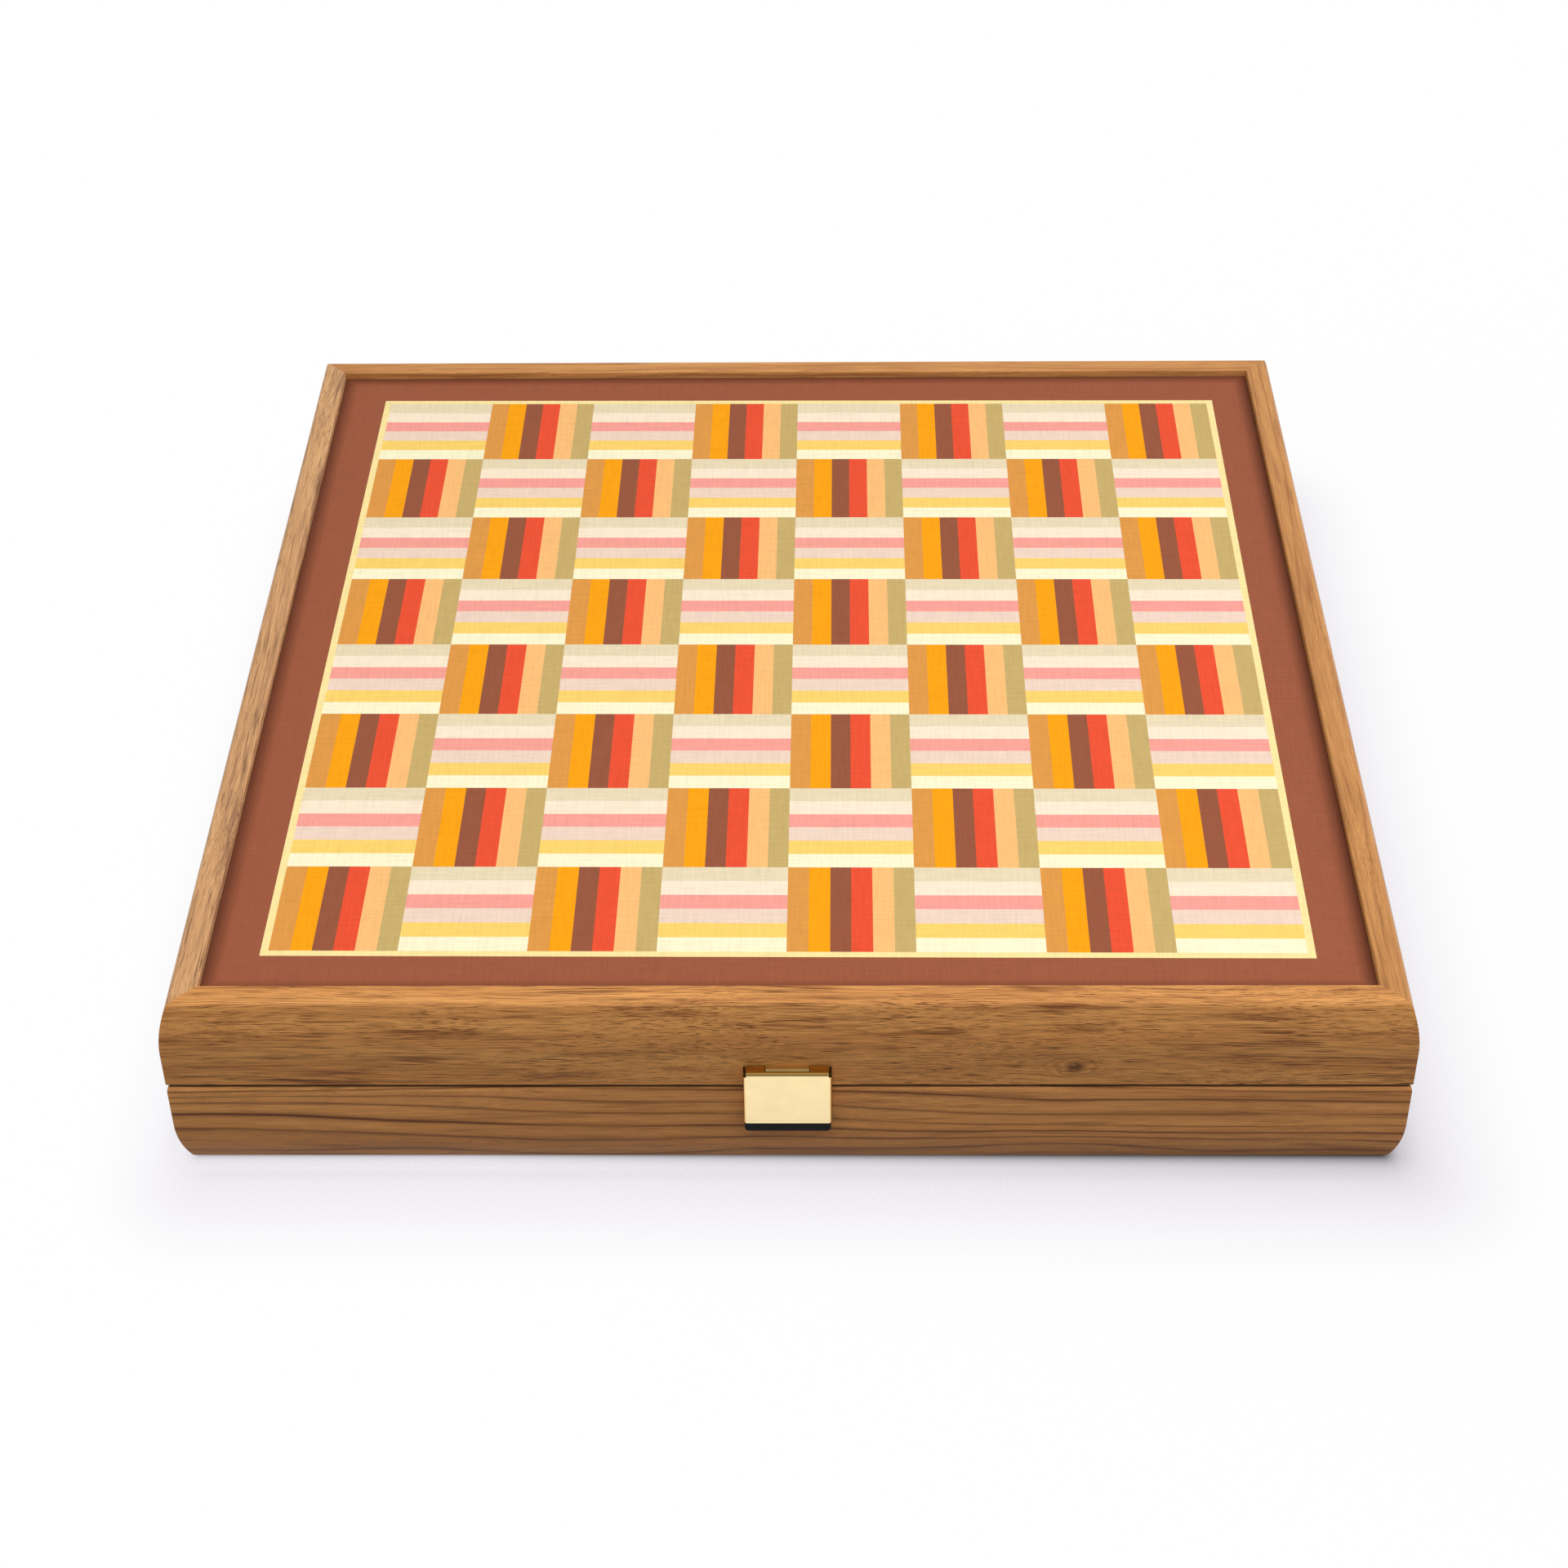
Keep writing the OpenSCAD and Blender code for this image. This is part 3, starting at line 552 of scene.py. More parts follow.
def makeWalnut(name, turnDeg, seed, look, knot=None):
    # walnut, planed, stained light and satin lacquered: growth rings, fibres and short open pores along it
    made, tree, shader = newMaterial(name, Roughness=0.42)
    shader.inputs["Specular IOR Level"].default_value = 0.14
    shift = Vector((seed * 0.731, seed * 0.417, seed * 0.293))
    point = objectPoint(tree, turnDeg, shift)
    if knot:
        point = bendRound(tree, point, Vector(knot["place"]) + shift, knot)
    # slow waver of the grain, about 2 mm over 100 mm, and a small quick one
    waver = noise(tree, stretch(tree, point, (130, 30, 30)), 1.0, output="Color")
    waver = vector2(tree, "MULTIPLY", vector2(tree, "SUBTRACT", waver, (0.5, 0.5, 0.5)), (0, 0.007, 0.007))
    quick = noise(tree, stretch(tree, point, (18, 5, 5)), 1.0, output="Color")
    quick = vector2(tree, "MULTIPLY", vector2(tree, "SUBTRACT", quick, (0.5, 0.5, 0.5)), (0, 0.0003, 0.0003))
    grain = vector2(tree, "ADD", vector2(tree, "ADD", point, waver), quick)

    def along(longMm, wideMm, detail=2.0, rough=0.5):
        return noise(tree, stretch(tree, grain, (longMm, wideMm, wideMm)), detail, rough)

    def strokes(longMm, wideMm, cluster, level):
        # crisp dark lens-shaped marks, closer together where the cluster is high
        marks = along(longMm, wideMm, 1.0, 0.5)
        raised = math2(tree, "MULTIPLY_ADD", math2(tree, "SUBTRACT", cluster, 0.5), 0.25, marks)
        return remap(tree, raised, level, level + 0.08)

    bands = remap(tree, along(190, 6.0, 3.0), 0.34, 0.66)
    fibres = along(12, 0.2, 3.0, 0.6)
    middling = remap(tree, along(24, 0.6, 3.0, 0.6), 0.3, 0.7)
    tone = math2(tree, "MULTIPLY_ADD", bands, 0.5, math2(tree, "MULTIPLY", middling, 0.5))
    base = mixColour(tree, tone, linear(look["light"]), linear(look["dark"]))
    split = add(tree, "ShaderNodeSeparateXYZ", {0: grain}).outputs
    here = add(tree, "ShaderNodeSeparateXYZ", {0: objectPoint(tree)}).outputs
    rise = math2(tree, "MULTIPLY_ADD", split[1], 0.6, math2(tree, "MULTIPLY", split[2], 0.8))
    count = math2(tree, "DIVIDE", rise, look["ringMm"] * mm)
    level = math2(tree, "MULTIPLY_ADD", along(260, 18.0, 1.0), 4.5, count)
    # each ring has its own strength, and fades in and out along the rail
    own = add(tree, "ShaderNodeTexWhiteNoise", {"W": math2(tree, "FLOOR", level)}, noise_dimensions="1D")
    peak = math2(tree, "MULTIPLY", math2(tree, "PINGPONG", level, 0.5), 2.0)
    crest = math2(tree, "MULTIPLY", math2(tree, "POWER", peak, 10.0), 0.5)
    ring = math2(tree, "MULTIPLY_ADD", math2(tree, "POWER", peak, 3.0), 0.4, crest)
    strong = remap(tree, own.outputs["Value"], 0.0, 1.0, 0.6 * look["rings"], 1.2 * look["rings"])
    ring = math2(tree, "MULTIPLY", ring, strong)
    ring = math2(tree, "MULTIPLY", ring, remap(tree, along(90, 3.0), 0.25, 0.5), clamp=True)
    base = mixColour(tree, ring, base, linear(look["late"]))
    cluster = along(34, 2.4, 2.0, 0.55)
    smudge = remap(tree, cluster, 0.52, 0.76, 0.0, look["smudges"], smooth=True)
    base = mixColour(tree, smudge, base, linear(look["late"]))
    marks = math2(tree, "MAXIMUM", strokes(14, 0.14, cluster, 0.6), strokes(34, 0.18, along(60, 5.0), 0.61))
    marks = math2(tree, "MULTIPLY", marks, look["strokes"], clamp=True)
    base = mixColour(tree, marks, base, linear(look["pore"]))
    half = look["fibres"] / 2
    base = shaded(tree, base, remap(tree, fibres, 0.3, 0.7, 1 + half, 1 - half))
    flecks = noise(tree, stretch(tree, grain, (0.7, 0.3, 0.3)), 1.0)
    base = shaded(tree, base, remap(tree, flecks, 0.3, 0.7, 0.95, 1.05))
    # painted shade in the groove along the parting
    fromLine = math2(tree, "ABSOLUTE", math2(tree, "MULTIPLY_ADD", here[2], 1 / mm, -partingShade["levelMm"]))
    fromLine = remap(tree, fromLine, partingShade["fromMm"], partingShade["toMm"], partingShade["shade"], 1.0)
    outer = math2(tree, "MAXIMUM", math2(tree, "ABSOLUTE", here[0]), math2(tree, "ABSOLUTE", here[1]))
    inner = math2(tree, "LESS_THAN", outer, partingShade["outerMm"] * mm)
    base = shaded(tree, base, math2(tree, "MAXIMUM", fromLine, inner))
    if knot:
        base = knotColour(tree, point, Vector(knot["place"]) + shift, knot, base, linear(knot["dark"]))
    tree.links.new(base, shader.inputs["Base Color"])
    relief = math2(tree, "SUBTRACT", math2(tree, "MULTIPLY", fibres, 0.25), marks)
    bump(tree, shader, relief, 0.04 * mm, 0.3)
    return made


def fromKnot(tree, point, place, knot):
    # offset from the knot's middle and its length, in units of the knot's own length and width
    size = (1 / (knot["lengthMm"] * mm), 0, 1 / (knot["wideMm"] * mm))
    away = vector2(tree, "MULTIPLY", vector2(tree, "SUBTRACT", point, place), size)
    return away, add(tree, "ShaderNodeVectorMath", {0: away}, operation="LENGTH").outputs["Value"]


def bendRound(tree, point, place, knot):
    # pushes the grain up above the knot and down below it
    away, far = fromKnot(tree, point, place, knot)
    swell = math2(tree, "EXPONENT", math2(tree, "MULTIPLY", math2(tree, "POWER", far, 2.0), -0.25))
    height = add(tree, "ShaderNodeSeparateXYZ", {0: away}).outputs[2]
    side = math2(tree, "MULTIPLY", height, -0.6 * knot["wideMm"] * mm)
    lift = add(tree, "ShaderNodeCombineXYZ", {2: math2(tree, "MULTIPLY", side, swell)}).outputs[0]
    return vector2(tree, "ADD", point, lift)


def knotColour(tree, point, place, knot, base, dark):
    # fine rings that fade outwards round a small dark heart
    far = fromKnot(tree, point, place, knot)[1]
    ripple = math2(tree, "ADD", far, noise(tree, stretch(tree, point, (4, 4, 1.6))))
    ripple = math2(tree, "POWER", math2(tree, "PINGPONG", math2(tree, "MULTIPLY", ripple, 1.5), 0.5), 2.0)
    fading = remap(tree, far, 2.6, 0.6, smooth=True)
    ripple = math2(tree, "MULTIPLY", math2(tree, "MULTIPLY", ripple, 1.8), fading)
    grainy = remap(tree, noise(tree, stretch(tree, point, (1.6, 1.6, 0.4))), 0.35, 0.6, 0.55, 1.0)
    heart = math2(tree, "MULTIPLY", remap(tree, far, 0.85, 0.15, 0.0, 0.95, smooth=True), grainy)
    return mixColour(tree, math2(tree, "MAXIMUM", ripple, heart), base, dark)


moulding = {
    "caseMm": 340.0,
    "railMm": 14.0,
    "lipMm": 10.6,
    "leanMm": 16.0,
    "faceR": 40.0,
    "edgeR": 1.8,
    "lipEdgeR": 0.5,
    "partingEdgeR": 2.0,
    "arrisR": 0.35,
    "lidMm": 27.4,
    "baseMm": 30.6,
    "partingMm": 0.5,
    "lidRebateMm": 6.9,
    "baseRebateMm": 8.1,
    "hingeXMm": 100.0,
    "hingeWMm": 32.0,
    "leafMm": 11.0,
    "pocketMm": 0.85,
    "pocketClearMm": 0.2,
    "pocketPastMm": 3.0,
    "pocketBackMm": 1.4,
}


def arc(cx, cy, r, a0, a1, steps):
    angles = [math.radians(a0 + (a1 - a0) * i / steps) for i in range(steps + 1)]
    return [(cx + r * math.cos(a), cy + r * math.sin(a)) for a in angles]


def mouldedEdge(values, height):
    # leaning face and flat top in (inward, up), as on the real moulding
    faceR, edgeR, lean = values["faceR"], values["edgeR"], values["leanMm"]
    rise = lean - edgeR
    run = math.sqrt((faceR - edgeR) ** 2 - rise ** 2)
    angle = math.degrees(math.asin(rise / (faceR - edgeR)))
    lip, lipR = values["lipMm"], values["lipEdgeR"]
    return (arc(faceR, height - lean, faceR, 180, 180 - angle, 20)
            + arc(faceR - run, height - edgeR, edgeR, 180 - angle, 90, 8)
            + arc(lip - lipR, height - lipR, lipR, 90, 0, 6))


def railSection(values, half):
    # outline in (inward, height above the table) of a lid or base rail
    rail, lip, arrisR = values["railMm"], values["lipMm"], values["arrisR"]
    high = values[half + "Mm"]
    rebate = high - values[half + "RebateMm"]
    edgeR = arrisR if half == "lid" else values["partingEdgeR"]
    outline = arc(edgeR, edgeR, edgeR, 270, 180, 8) + mouldedEdge(values, high)
    outline += [(lip, rebate), (rail, rebate)] + arc(rail - arrisR, arrisR, arrisR, 0, -90, 3)
    if half == "lid":
        return [(d, values["baseMm"] + values["partingMm"] + z) for d, z in outline]
    return [(d, high - z) for d, z in outline]


def makeRailTree():
    # sweeps the section along the rail and cuts both ends to mitres
    tree, given, result = startTree("mitredRail", {"Length": "Float", "Turn": "Float", "Wood": "Material"})
    reach = add(tree, "ShaderNodeCombineXYZ", {0: given["Length"]}).outputs[0]
    pulled = {"Mesh": given["Geometry"], "Offset": reach, "Individual": False}
    swept = add(tree, "GeometryNodeExtrudeMesh", pulled)
    back = add(tree, "GeometryNodeFlipFaces", {"Mesh": given["Geometry"]}).outputs[0]
    closed = add(tree, "GeometryNodeJoinGeometry")
    tree.links.new(swept.outputs["Mesh"], closed.inputs[0])
    tree.links.new(back, closed.inputs[0])
    merged = add(tree, "GeometryNodeMergeByDistance", {"Geometry": closed.outputs[0], "Distance": 1e-6})
    place = add(tree, "ShaderNodeSeparateXYZ", {0: add(tree, "GeometryNodeInputPosition").outputs[0]}).outputs
    halfLong = math2(tree, "MULTIPLY", given["Length"], 0.5)
    fromMiddle = math2(tree, "SUBTRACT", place[0], halfLong)
    cut = math2(tree, "SUBTRACT", 1.0, math2(tree, "DIVIDE", place[1], halfLong))
    across = math2(tree, "SUBTRACT", place[1], halfLong)
    along = math2(tree, "MULTIPLY", fromMiddle, cut)
    mitred = add(tree, "ShaderNodeCombineXYZ", {0: along, 1: across, 2: place[2]}).outputs[0]
    moved = {"Geometry": merged.outputs[0], "Position": mitred}
    shaped = add(tree, "GeometryNodeSetPosition", moved).outputs[0]
    turn = add(tree, "ShaderNodeCombineXYZ", {2: given["Turn"]}).outputs[0]
    turned = add(tree, "GeometryNodeTransform", {"Geometry": shaped, "Rotation": turn}).outputs[0]
    return endTree(tree, turned, given["Wood"], result)


def leafPockets(values, half):
    # boxes that the hinge leaves are let into, as one cutter
    work = bmesh.new()
    parting = values["baseMm"] if half == "base" else values["baseMm"] + values["partingMm"]
    for side in (-1, 1):
        wide, long = values["hingeWMm"] + values["pocketClearMm"], values["leafMm"] + values["pocketPastMm"]
        size = Vector((wide, long, 2 * values["pocketMm"])) * mm
        back = values["caseMm"] / 2 - values["leafMm"] / 2 + values["pocketBackMm"]
        middle = Vector((side * values["hingeXMm"], back, parting)) * mm
        bmesh.ops.create_cube(work, size=1.0, matrix=Matrix.Translation(middle) @ Matrix.Diagonal((*size, 1)))
    return link("pockets", meshOf("pockets", work))


def makeRail(node, name, tree, wood, turnDeg, values):
    half = node.split("_")[0]
    mesh = bpy.data.meshes.new(name)
    section = railSection(values, half)
    mesh.from_pydata([(0, d * mm, z * mm) for d, z in section], [], [list(range(len(section)))])
    piece = link(name, mesh)
    grow(piece, tree, {"Length": values["caseMm"] * mm, "Turn": math.radians(turnDeg), "Wood": wood})
    work = bmesh.new()
    work.from_mesh(piece.data)
    bmesh.ops.recalc_face_normals(work, faces=work.faces)
    work.to_mesh(piece.data)
    work.free()
    if node.endswith("back"):
        cutter = leafPockets(values, half)
        cut = piece.modifiers.new("pockets", "BOOLEAN")
        cut.object = cutter
        cut.solver = "EXACT"
        plain(piece)
        bpy.data.objects.remove(cutter)
    smooth(piece, 35)
    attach(piece, half)
    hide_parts(node)


railTree = makeRailTree()
lidKnot = {"place": (0.078, -0.17, 0.0380), "lengthMm": 4.4, "wideMm": 2.0, "dark": "#45250f"}
sides = {"front": 0, "right": 90, "back": 180, "left": 270}
lidLooks = {"front": "plain", "right": "tan", "back": "calm", "left": "pale"}
for half in ("lid", "base"):
    for order, (side, turnDeg) in enumerate(sides.items()):
        look = woodLooks[lidLooks[side] if half == "lid" else "banded"]
        knot = lidKnot if (half, side) == ("lid", "front") else None
        seed = 3.0 + order + (7 if half == "base" else 0)
        grainDeg = -90 if side in ("left", "right") else 0
        wood = makeWalnut(f"walnut{half.title()}{side.title()}", grainDeg, seed, look, knot)
        makeRail(f"{half}_rail_{side}", f"{half}Rail{side.title()}", railTree, wood, turnDeg, moulding)
print("rails made")


# Cores and dividers


def makePlywood():
    # raw birch plywood, sawn: turned plies show as pale and brown layers on the edge
    made, tree, shader = newMaterial("birchPlywood", Roughness=0.7)
    point = objectPoint(tree)
    height = add(tree, "ShaderNodeSeparateXYZ", {0: point}).outputs[2]
    turned = math2(tree, "GREATER_THAN", math2(tree, "FRACT", math2(tree, "DIVIDE", height, 2.7 * mm)), 0.5)
    fibres = noise(tree, stretch(tree, point, (30, 0.8, 0.8)), 3.0, 0.6)
    wood = mixColour(tree, turned, linear("#d9bd92"), linear("#b88f5e"))
    tree.links.new(shaded(tree, wood, remap(tree, fibres, 0.3, 0.7, 0.88, 1.06)), shader.inputs["Base Color"])
    bump(tree, shader, fibres, 0.1 * mm, 0.4)
    return made


paint(makePlywood(), "base_core", "lid_core")
dividerEdgeMm = 0.2
for half, seed in (("base", 21.0), ("lid", 24.0)):
    wood = makeWalnut(f"walnut{half.title()}Divider", 0, seed, woodLooks["plain"])
    dressed(f"{half}_divider", f"{half}Divider", wood, dividerEdgeMm * mm)
print("cores and dividers made")


# Metal and plastic

metalSet = {"brass": "#f9e2ae", "deepBrass": "#dcb060", "shearedBrass": "#5a4219", "castBrass": "#f0cf85",
            "steel": "#cdd0d4", "oiledSteel": "#6f6a60", "edgeMm": 0.1}
plasticSet = {"black": "#08080a", "ivory": "#f8f1de", "pip": "#15130f"}


def brushedMetal(name, colour, rough, lineMm, depthMm, deep=None):
    # metal with fine lines along its length, faint clouds and rubs; with a deep colour, faces turned away
    # from the front take it and the front stays paler, painted light for the bright reflection on the front
    # and the dimmer ones round it
    made, tree, shader = newMaterial(name, Base_Color=linear(colour), Metallic=1.0)
    point = objectPoint(tree)
    lines = noise(tree, stretch(tree, point, (9.0, lineMm, lineMm)), 3.0, 0.65)
    cloud = noise(tree, stretch(tree, point, (6.0, 6.0, 6.0)), 2.0)
    fine = noise(tree, stretch(tree, point, (0.25, 0.25, 0.25)), 1.0)
    toned = shaded(tree, linear(colour), remap(tree, cloud, 0.3, 0.7, 0.93, 1.0))
    toned = shaded(tree, toned, remap(tree, fine, 0.3, 0.7, 0.96, 1.0))
    if deep:
        normal = add(tree, "ShaderNodeTexCoord").outputs["Normal"]
        facing = add(tree, "ShaderNodeSeparateXYZ", {0: normal}).outputs[1]
        # painted light: deeper colour where the surface turns away from the front
        toned = mixColour(tree, remap(tree, facing, -0.97, -0.8, smooth=True), toned, linear(deep))
    tree.links.new(toned, shader.inputs["Base Color"])
    tree.links.new(remap(tree, lines, 0.3, 0.7, rough - 0.05, rough + 0.07), shader.inputs["Roughness"])
    bump(tree, shader, lines, depthMm * mm, 0.4)
    return made


def mouldedPlastic(name, colour, rough, level, grainMm, depthMm):
    # injection moulded, with the fine matt grain of its tool
    made, tree, shader = newMaterial(name, Base_Color=linear(colour), Roughness=rough)
    shader.inputs["Specular IOR Level"].default_value = level
    grain = noise(tree, stretch(tree, objectPoint(tree), (grainMm,) * 3), 3.0, 0.6)
    bump(tree, shader, grain, depthMm * mm, 0.4)
    return made


def marbledPlastic(name, light, dark):
    # cast in the mass and polished: faint swirls of a second tone, its own on each counter
    made, tree, shader = newMaterial(name, Roughness=0.22)
    point = objectPoint(tree)
    turns = noise(tree, stretch(tree, point, (9.0, 9.0, 9.0)), 2.0, output="Color")
    turns = vector2(tree, "MULTIPLY", turns, (0.014, 0.014, 0.014))
    swirl = noise(tree, stretch(tree, vector2(tree, "ADD", point, turns), (7.0, 3.0, 3.0)), 4.0, 0.6)
    tone = remap(tree, swirl, 0.42, 0.66)
    tree.links.new(mixColour(tree, tone, linear(light), linear(dark)), shader.inputs["Base Color"])
    return made


# rolled brass sheet, brushed and lacquered: a nearly smooth mirror with fine lines, pale on the front and
# deeper on the bends and flange as painted light
brass = brushedMetal("brushedBrass", metalSet["brass"], 0.17, 0.12, 0.006, metalSet["deepBrass"])
# brass turned or stamped and left bright: deeper in colour, with coarser lines
turnedBrass = brushedMetal("turnedBrass", metalSet["deepBrass"], 0.3, 0.3, 0.01)
# cast brass, tumbled: a broad dull shine over a rough skin
castBrass = brushedMetal("castBrass", metalSet["castBrass"], 0.55, 0.25, 0.03)
# drawn steel wire, blackened in oil: dark grey with a soft shine
oiledSteel = brushedMetal("oiledSteel", metalSet["oiledSteel"], 0.45, 0.25, 0.01)
# the cut edge of the brass sheet, sheared and tarnished: dark and dull beside the bright face
shearedBrass = brushedMetal("shearedBrass", metalSet["shearedBrass"], 0.5, 0.15, 0.01)
# cold-headed and stamped steel, zinc plated: cool, bright and slightly soft
steel = brushedMetal("zincPlatedSteel", metalSet["steel"], 0.28, 0.25, 0.01)
blackPlastic = mouldedPlastic("blackNylon", plasticSet["black"], 0.5, 0.12, 0.35, 0.02)
ivoryPlastic = mouldedPlastic("ivoryUrea", plasticSet["ivory"], 0.2, 0.5, 3.0, 0.01)
# paint run into the sunk pips, dry and half matt
pipPaint = mouldedPlastic("pipPaint", plasticSet["pip"], 0.35, 0.4, 0.5, 0.01)

flapSet = {
    "caseMm": 340.0,
    "partingZMm": 30.85,
    "wideMm": 24.0,
    "upMm": 8.3,
    "downMm": 10.2,
    "proudMm": 4.2,
    "sheetMm": 0.5,
    "sideBendMm": 0.8,
    "topBendMm": 1.0,
    "footRMm": 0.8,
    "cheekBackMm": 0.4,
    "cheekFootMm": 1.0,
    "cheekTopRMm": 1.35,
    "flangeBackMm": 0.61,
    "window": (6.1, 3.0),
    "pin": (1.75, 7.25, 0.55),
    "notchMm": 0.1,
    "closeMm": 0.04,
    "arrisMm": 0.07,
}


def flapOutline(values):
    # flat pattern of the right half of the sheet in (from the middle, up), from the foot round to the flange
    side, top = values["sideBendMm"], values["topBendMm"]
    half, proud, down, up = values["wideMm"] / 2, values["proudMm"], values["downMm"], values["upMm"]
    bendAt = half - side
    cheekAt = bendAt + side * math.pi / 2
    flangeAt = up - top + top * math.pi / 2

    def cheek(d):
        return cheekAt + proud - side - d

    foot = []
    footR, level = values["footRMm"], values["cheekFootMm"] - down
    for x, z in arc(half - footR, footR - down, footR, -90, 0, 10):
        flat = x if x < bendAt else bendAt + side * math.asin(min(1.0, (x - bendAt) / side))
        foot.append((flat, z))
    foot.append((cheekAt, level))
    pinD, pinZ, pinR = values["pin"]
    topR = values["cheekTopRMm"]
    high = math.degrees(math.asin((up - pinZ) / topR))
    crown = [(cheek(2 * pinD - x), z) for x, z in arc(pinD, pinZ, topR, 0, high, 6)]
    notch = up - top - values["notchMm"]
    windowX, windowD = values["window"]
    flangeEnd = flangeAt + proud - top - values["flangeBackMm"]
    windowEnd = flangeAt + proud - top - windowD
    outline = [(0.0, -down)] + foot + [(cheek(values["cheekBackMm"]), level)] + crown
    outline += [(cheekAt, up), (cheekAt, notch), (bendAt, notch), (bendAt, flangeEnd), (windowX, flangeEnd),
                (windowX, windowEnd), (0.0, windowEnd)]
    hole = [(cheek(x), z) for x, z in arc(pinD, pinZ, pinR, 0, 337.5, 15)]
    return outline, hole


def foldFlap(values, steps=8):
    # cuts the flat pattern along the bends and rolls it round them
    side, top = values["sideBendMm"], values["topBendMm"]
    half, proud, up = values["wideMm"] / 2, values["proudMm"], values["upMm"]
    outline, hole = flapOutline(values)
    loops = [outline + [(-u, v) for u, v in outline[-2:0:-1]], hole, [(-u, v) for u, v in hole]]
    points = [p for loop in loops for p in loop]
    work = bmesh.new()
    verts = [work.verts.new((u, 0, v)) for u, v in points]
    for corners in tessellate_polygon([[Vector((u, v, 0)) for u, v in loop] for loop in loops]):
        a, b, c = [Vector(points[i]) for i in corners]
        turn = (b - a).cross(c - a)
        if abs(turn) > 1e-7:
            work.faces.new([verts[i] for i in (corners if turn > 0 else reversed(corners))])
    cuts = [("x", sign * (half - side + side * math.pi / 2 * k / steps))
            for sign in (-1, 1) for k in range(steps + 1)]
    cuts += [("z", up - top + top * math.pi / 2 * k / steps) for k in range(steps + 1)]
    for axis, place in cuts:
        normal = (1, 0, 0) if axis == "x" else (0, 0, 1)
        bmesh.ops.bisect_plane(work, geom=work.verts[:] + work.edges[:] + work.faces[:], dist=1e-5,
                               plane_co=[n * place for n in normal], plane_no=normal)
    for vert in work.verts:
        u, v = vert.co.x, vert.co.z
        x, d, z = abs(u), proud, v
        past = x - (half - side)
        if v > up - top and past < 1e-4:
            angle = min((v - up + top) / top, math.pi / 2)
            d = proud - top + top * math.cos(angle) - max(0.0, v - up + top - top * math.pi / 2)
            z = up - top + top * math.sin(angle)
        elif past > 0:
            angle = min(past / side, math.pi / 2)
            d = proud - side + side * math.cos(angle) - max(0.0, past - side * math.pi / 2)
            x = half - side + side * math.sin(angle)
        vert.co = Vector((math.copysign(x, u), -values["caseMm"] / 2 - d, values["partingZMm"] + z)) * mm
    return meshOf("claspFlap", work)


def tidyMesh(mesh, closeMm):
    # one face for each flat, and one point where several lie closer than this
    work = bmesh.new()
    work.from_mesh(mesh)
    bmesh.ops.dissolve_limit(work, angle_limit=math.radians(0.5), verts=work.verts, edges=work.edges,
                             delimit={"MATERIAL"})
    bmesh.ops.dissolve_degenerate(work, dist=closeMm * mm, edges=work.edges)
    work.to_mesh(mesh)
    work.free()


def makeFlap(material, edgeMaterial, values):
    piece = link("claspFlap", foldFlap(values))
    piece.data.materials.append(material)
    piece.data.materials.append(edgeMaterial)
    sheet = piece.modifiers.new("sheet", "SOLIDIFY")
    sheet.material_offset_rim = 1
    sheet.thickness = values["sheetMm"] * mm
    sheet.offset = -1.0
    sheet.use_even_offset = True
    plain(piece)
    tidyMesh(piece.data, values["closeMm"])
    softenEdges(piece, values["arrisMm"] * mm, 60)
    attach(piece, "flap")
    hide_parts("clasp_flap")


edge = metalSet["edgeMm"] * mm
makeFlap(brass, shearedBrass, flapSet)
dressed("clasp_bracket", "claspBracket", castBrass, edge)
dressed("clasp_pin", "claspPin", oiledSteel, edge)
dressed("bracket_screws", "bracketScrews", steel)
dressed("clasp_magnet", "claspMagnet", steel, edge)
dressed("magnet_holder", "magnetHolder", blackPlastic, 2 * edge)
dressed("keeper_plate", "keeperPlate", steel, edge)
dressed("keeper_screws", "keeperScrews", steel)
print("clasp made")

for side in ("left", "right"):
    for leaf in ("base", "lid"):
        leafName = f"hinge{side.title()}{leaf.title()}Leaf"
        dressed(f"hinge_{side}_{leaf}_leaf", leafName, turnedBrass, edge)
    dressed(f"hinge_{side}_pin", f"hinge{side.title()}Pin", steel, edge)
dressed("base_leaf_screws", "baseLeafScrews", turnedBrass)
dressed("lid_leaf_screws", "lidLeafScrews", turnedBrass)
print("hinges made")


# Counters and dice

counterSet = {
    "radiusMm": 15.0,
    "thickMm": 8.0,
    "rimMm": 1.2,
    "ringMm": (6.6, 10.8),
    "ringDeepMm": 0.5,
    "ringEdgeMm": 0.2,
    "count": 15,
    "pitchMm": 8.3,
    "firstXMm": 149.85,
    "placeMm": (-140.0, 23.6),
}


def counterMesh(values, steps=72):
    # turned profile round the counter's axis, which runs along x
    half, radius, rim = values["thickMm"] / 2, values["radiusMm"], values["rimMm"]
    inner, outer = values["ringMm"]
    edge, floor = values["ringEdgeMm"], half - values["ringDeepMm"]
    bend = edge * 0.3
    right = [(half, inner - edge), (half - bend, inner - bend), (floor + edge, inner), (floor, inner + edge),
             (floor, outer - edge), (floor + edge, outer), (half - bend, outer + bend), (half, outer + edge)]
    right += [(a, r) for r, a in arc(radius - rim, half - rim, rim, 90, 0, 6)]
    outline = [(-a, r) for a, r in right] + right[::-1]
    work = bmesh.new()
    angles = [2 * math.pi * k / steps for k in range(steps)]
    loops = []
    for a, r in outline:
        ring = [Vector((a, r * math.cos(angle), r * math.sin(angle))) * mm for angle in angles]
        loops.append([work.verts.new(place) for place in ring])
    for first, second in zip(loops, loops[1:]):
        for k in range(steps):
            work.faces.new((first[k], first[(k + 1) % steps], second[(k + 1) % steps], second[k]))
    for loop in (loops[0], loops[-1]):
        work.faces.new(loop)
    bmesh.ops.recalc_face_normals(work, faces=work.faces)
    return meshOf("counter", work)


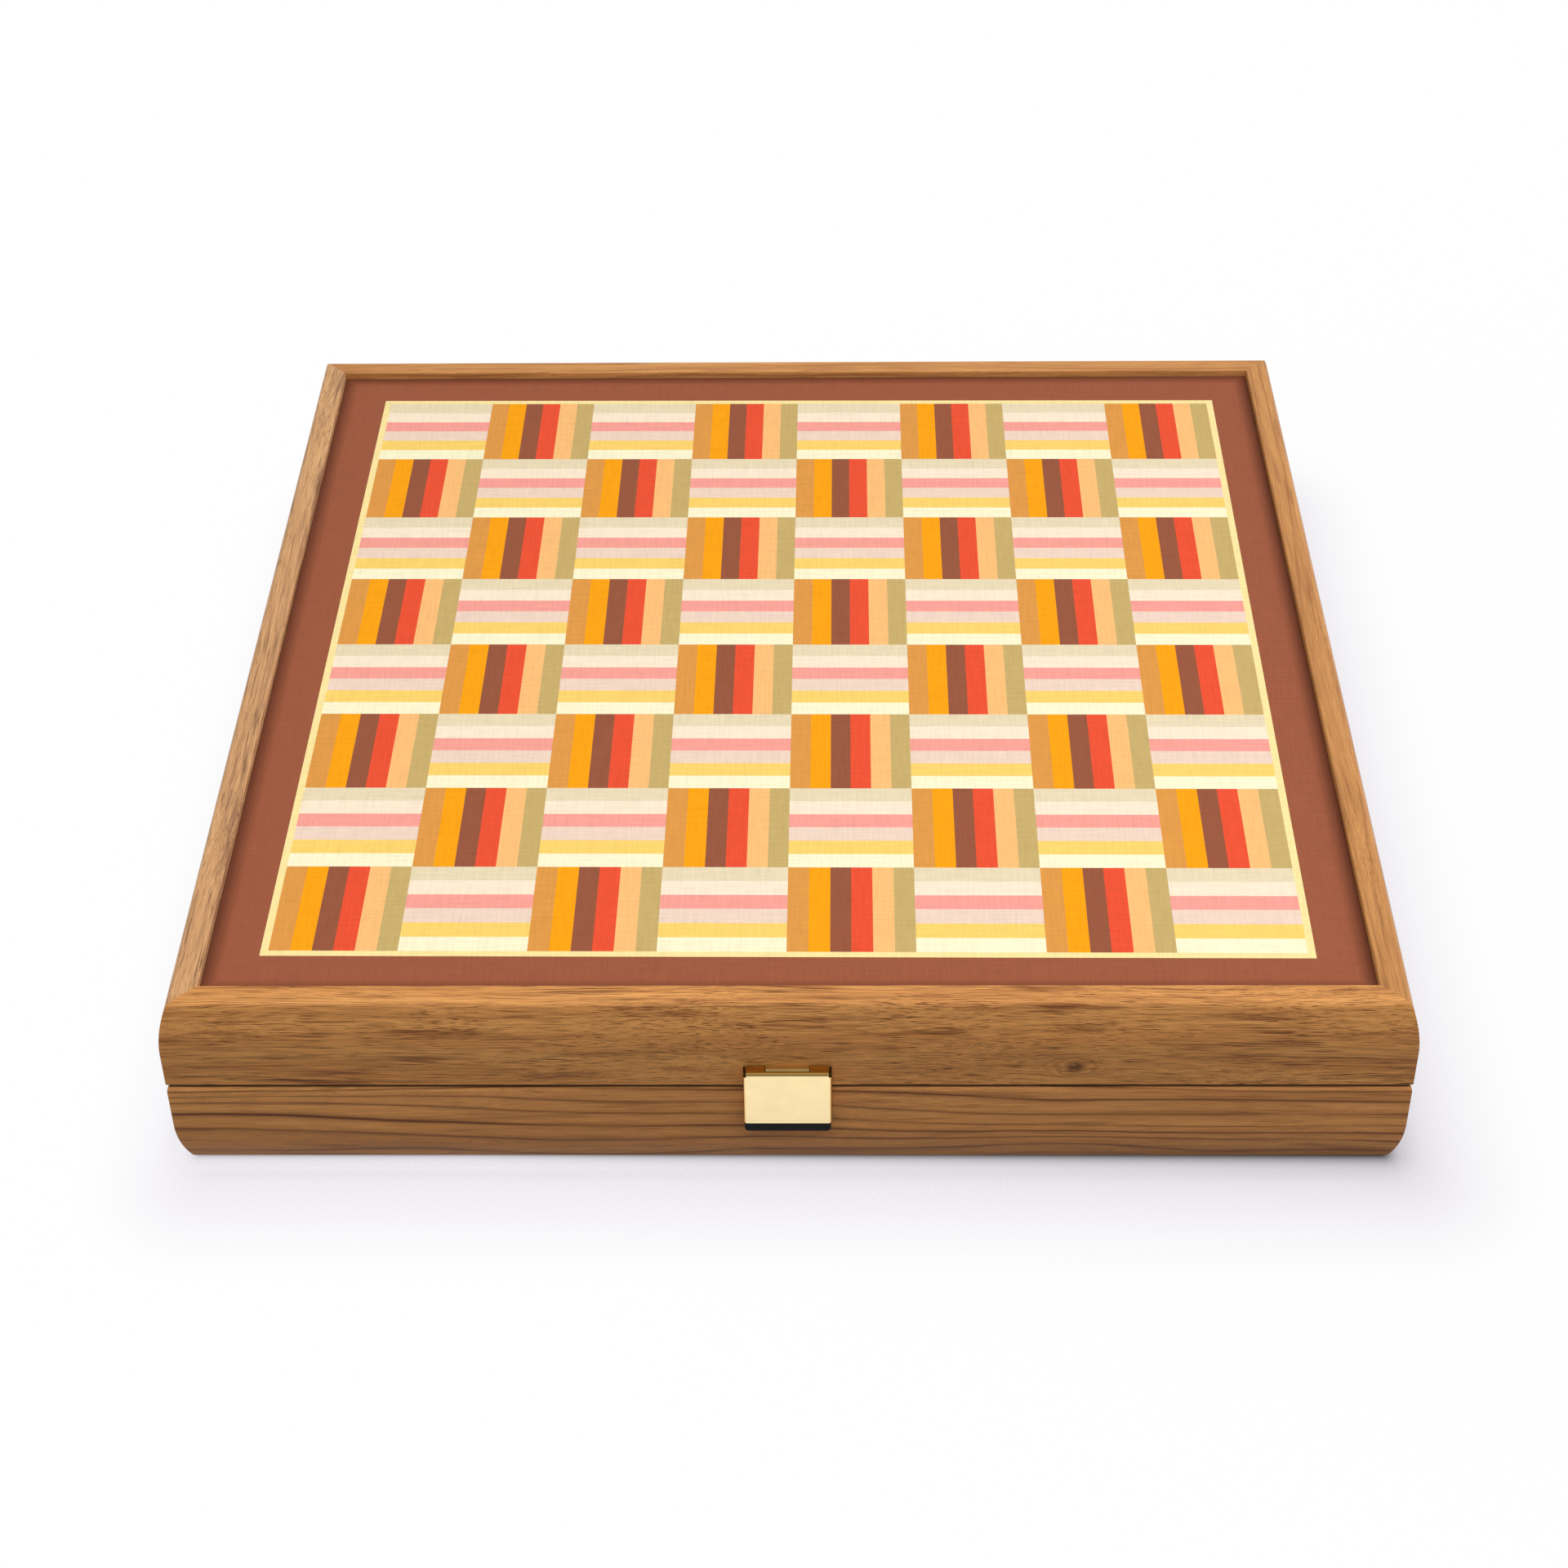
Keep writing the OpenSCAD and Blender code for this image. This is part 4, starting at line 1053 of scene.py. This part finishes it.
def makeCounterTree():
    # counters on a line, each turned about the line by chance
    kinds = {"Count": "Int", "Start": "Vector", "Step": "Vector", "Seed": "Int", "Plastic": "Material"}
    tree, given, result = startTree("counterRow", kinds)
    line = {"Count": given["Count"], "Start Location": given["Start"], "Offset": given["Step"]}
    places = add(tree, "GeometryNodeMeshLine", line, mode="OFFSET", count_mode="TOTAL").outputs[0]
    chance = {2: 0.0, 3: 2 * math.pi, 8: given["Seed"]}
    spin = add(tree, "FunctionNodeRandomValue", chance, data_type="FLOAT").outputs[1]
    turn = add(tree, "ShaderNodeCombineXYZ", {0: spin}).outputs[0]
    placed = {"Points": places, "Instance": given["Geometry"], "Rotation": turn}
    row = add(tree, "GeometryNodeInstanceOnPoints", placed)
    return endTree(tree, row.outputs[0], given["Plastic"], result)


counterTree = makeCounterTree()
for node, side, material in (("light_counters", -1, marbledPlastic("ivoryCast", "#f3e6c6", "#e6cf9f")),
                             ("dark_counters", 1, marbledPlastic("walnutCast", "#6e3524", "#7d402c"))):
    row = link(node.replace("_c", "C"), counterMesh(counterSet))
    grow(row, counterTree, {
        "Count": counterSet["count"], "Seed": 5 + side, "Plastic": material,
        "Start": [side * counterSet["firstXMm"] * mm] + [p * mm for p in counterSet["placeMm"]],
        "Step": [-side * counterSet["pitchMm"] * mm, 0, 0]})
    smooth(row, 50)
    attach(row, "base")
    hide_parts(node)
print("counters made")

diceSet = {"edgeMm": 12.0, "gapMm": 0.6, "middleMm": (-140.0, 14.6), "pipReachMm": 4.2,
           "pipDeepMm": (0.12, 0.45), "arrisMm": 0.08}


def paintPips(piece, material, values):
    # the sunk faces inside the six flats take the paint
    piece.data.materials.append(material)
    half = values["edgeMm"] / 2
    shallow, deep = values["pipDeepMm"]
    for face in piece.data.polygons:
        side = 1 if face.center.x > 0 else -1
        middle = Vector((side * (half + values["gapMm"] / 2), *values["middleMm"])) * mm
        centre, high = sorted(abs(c) / mm for c in face.center - middle)[1:]
        if half - deep < high < half - shallow and centre < values["pipReachMm"]:
            face.material_index = 1


dice = dressed("dice", "dicePair", ivoryPlastic, diceSet["arrisMm"] * mm)
paintPips(dice, pipPaint, diceSet)
print("dice made")
